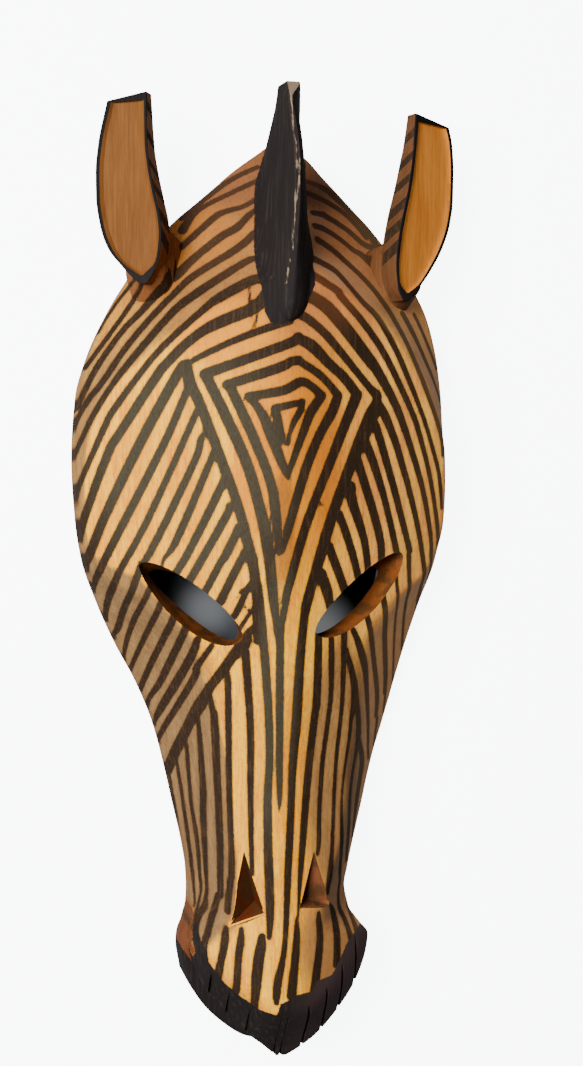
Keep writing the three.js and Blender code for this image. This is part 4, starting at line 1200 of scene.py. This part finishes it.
# %% The floor
# To the camera the floor glows like lit paper, except under the mask, where it is painted dark as
# shade, which shows through the eyes. Below each eye a painted pool of light glows for the camera,
# and a reflection sees the floor darker.
PAPER, PAPER_LIGHT, PAPER_GLOW = (0.85, 0.85, 0.85, 1), (0.94, 0.97, 1, 1), 8
UNDER_MASK, MIRRORED = (0.05, 0.056, 0.066, 1), (0.2, 0.2, 0.2, 1)
DARK_WIDE, DARK_TALL, DARK_SHIFT = 0.088, 0.11, -0.2
bpy.ops.object.select_all(action="DESELECT")
bpy.ops.mesh.primitive_plane_add(size=6, location=(0, 0, 0))
floor = bpy.context.object
floor.name = "floor"
paper = bpy.data.materials.new("pale_floor")
paper.use_nodes = True
tree = paper.node_tree
place = add(tree, "TexCoord").outputs["Object"]


def pool(x, y, wide, most):
    """A painted pool of light on the floor below an eye, as a glow."""
    off = add(tree, "VectorMath", {0: place, 1: (x, y, 0)}, operation="DISTANCE").outputs["Value"]
    return ease(off, wide, 0.1 * wide, 0, most)


oval = add(tree, "Mapping", {"Vector": place, "Location": (0, DARK_SHIFT, 0),
                             "Scale": (1 / DARK_WIDE, 1 / DARK_TALL, 0)}).outputs[0]
off_centre = add(tree, "VectorMath", {0: oval}, operation="LENGTH").outputs["Value"]
rays = add(tree, "LightPath").outputs
pools = sums("ADD", pool(-0.028, -0.018, 0.021, 0.14), pool(0.036, -0.029, 0.026, 0.15))
glow = sums("MULTIPLY", rays["Is Camera Ray"], sums("ADD", ease(off_centre, 0.8, 1.0, 0, PAPER_GLOW), pools))
base = coats(PAPER, (ease(off_centre, 1.0, 0.8), UNDER_MASK))
sheet = tree.nodes["Principled BSDF"]
sheet.inputs["Roughness"].default_value = 0.95
sheet.inputs["Emission Color"].default_value = PAPER_LIGHT
tree.links.new(glow, sheet.inputs["Emission Strength"])
tree.links.new(blend(rays["Is Glossy Ray"], base, MIRRORED), sheet.inputs["Base Color"])
floor.data.materials.append(paper)

# %% The camera
VIEW_TILT = 12
CAMERA_AT = (-166.82, 24.6, 880.33)
LENS, SENSOR = 54.37, 36
eye_data = bpy.data.cameras.new("camera")
eye_data.lens = LENS
eye_data.sensor_width = SENSOR
camera = bpy.data.objects.new("camera", eye_data)
camera.location = [v * MM for v in CAMERA_AT]
camera.rotation_euler = (0, -math.radians(VIEW_TILT), 0)
bpy.context.collection.objects.link(camera)
bpy.context.scene.camera = camera


# %% The lights
KEY_AT, FILL_AT = (-0.93, 0.3, 1.28), (0.6, 0.4, 1.6)
ROOM_LIGHT = 0.05


def lamp(name, at, size, power):
    """A square soft lamp that points at the middle of the mask, its power in watts."""
    data = bpy.data.lights.new(name, "AREA")
    data.size = size
    data.energy = power
    light = bpy.data.objects.new(name, data)
    light.location = at
    light.rotation_euler = (-light.location).to_track_quat("-Z", "Y").to_euler()
    bpy.context.collection.objects.link(light)


lamp("key", KEY_AT, 0.8, 71)
lamp("fill", FILL_AT, 1.2, 1.5)
world = bpy.data.worlds.new("studio")
world.use_nodes = True
room = world.node_tree.nodes["Background"]
room.inputs["Color"].default_value = (1, 1, 1, 1)
room.inputs["Strength"].default_value = ROOM_LIGHT
bpy.context.scene.world = world
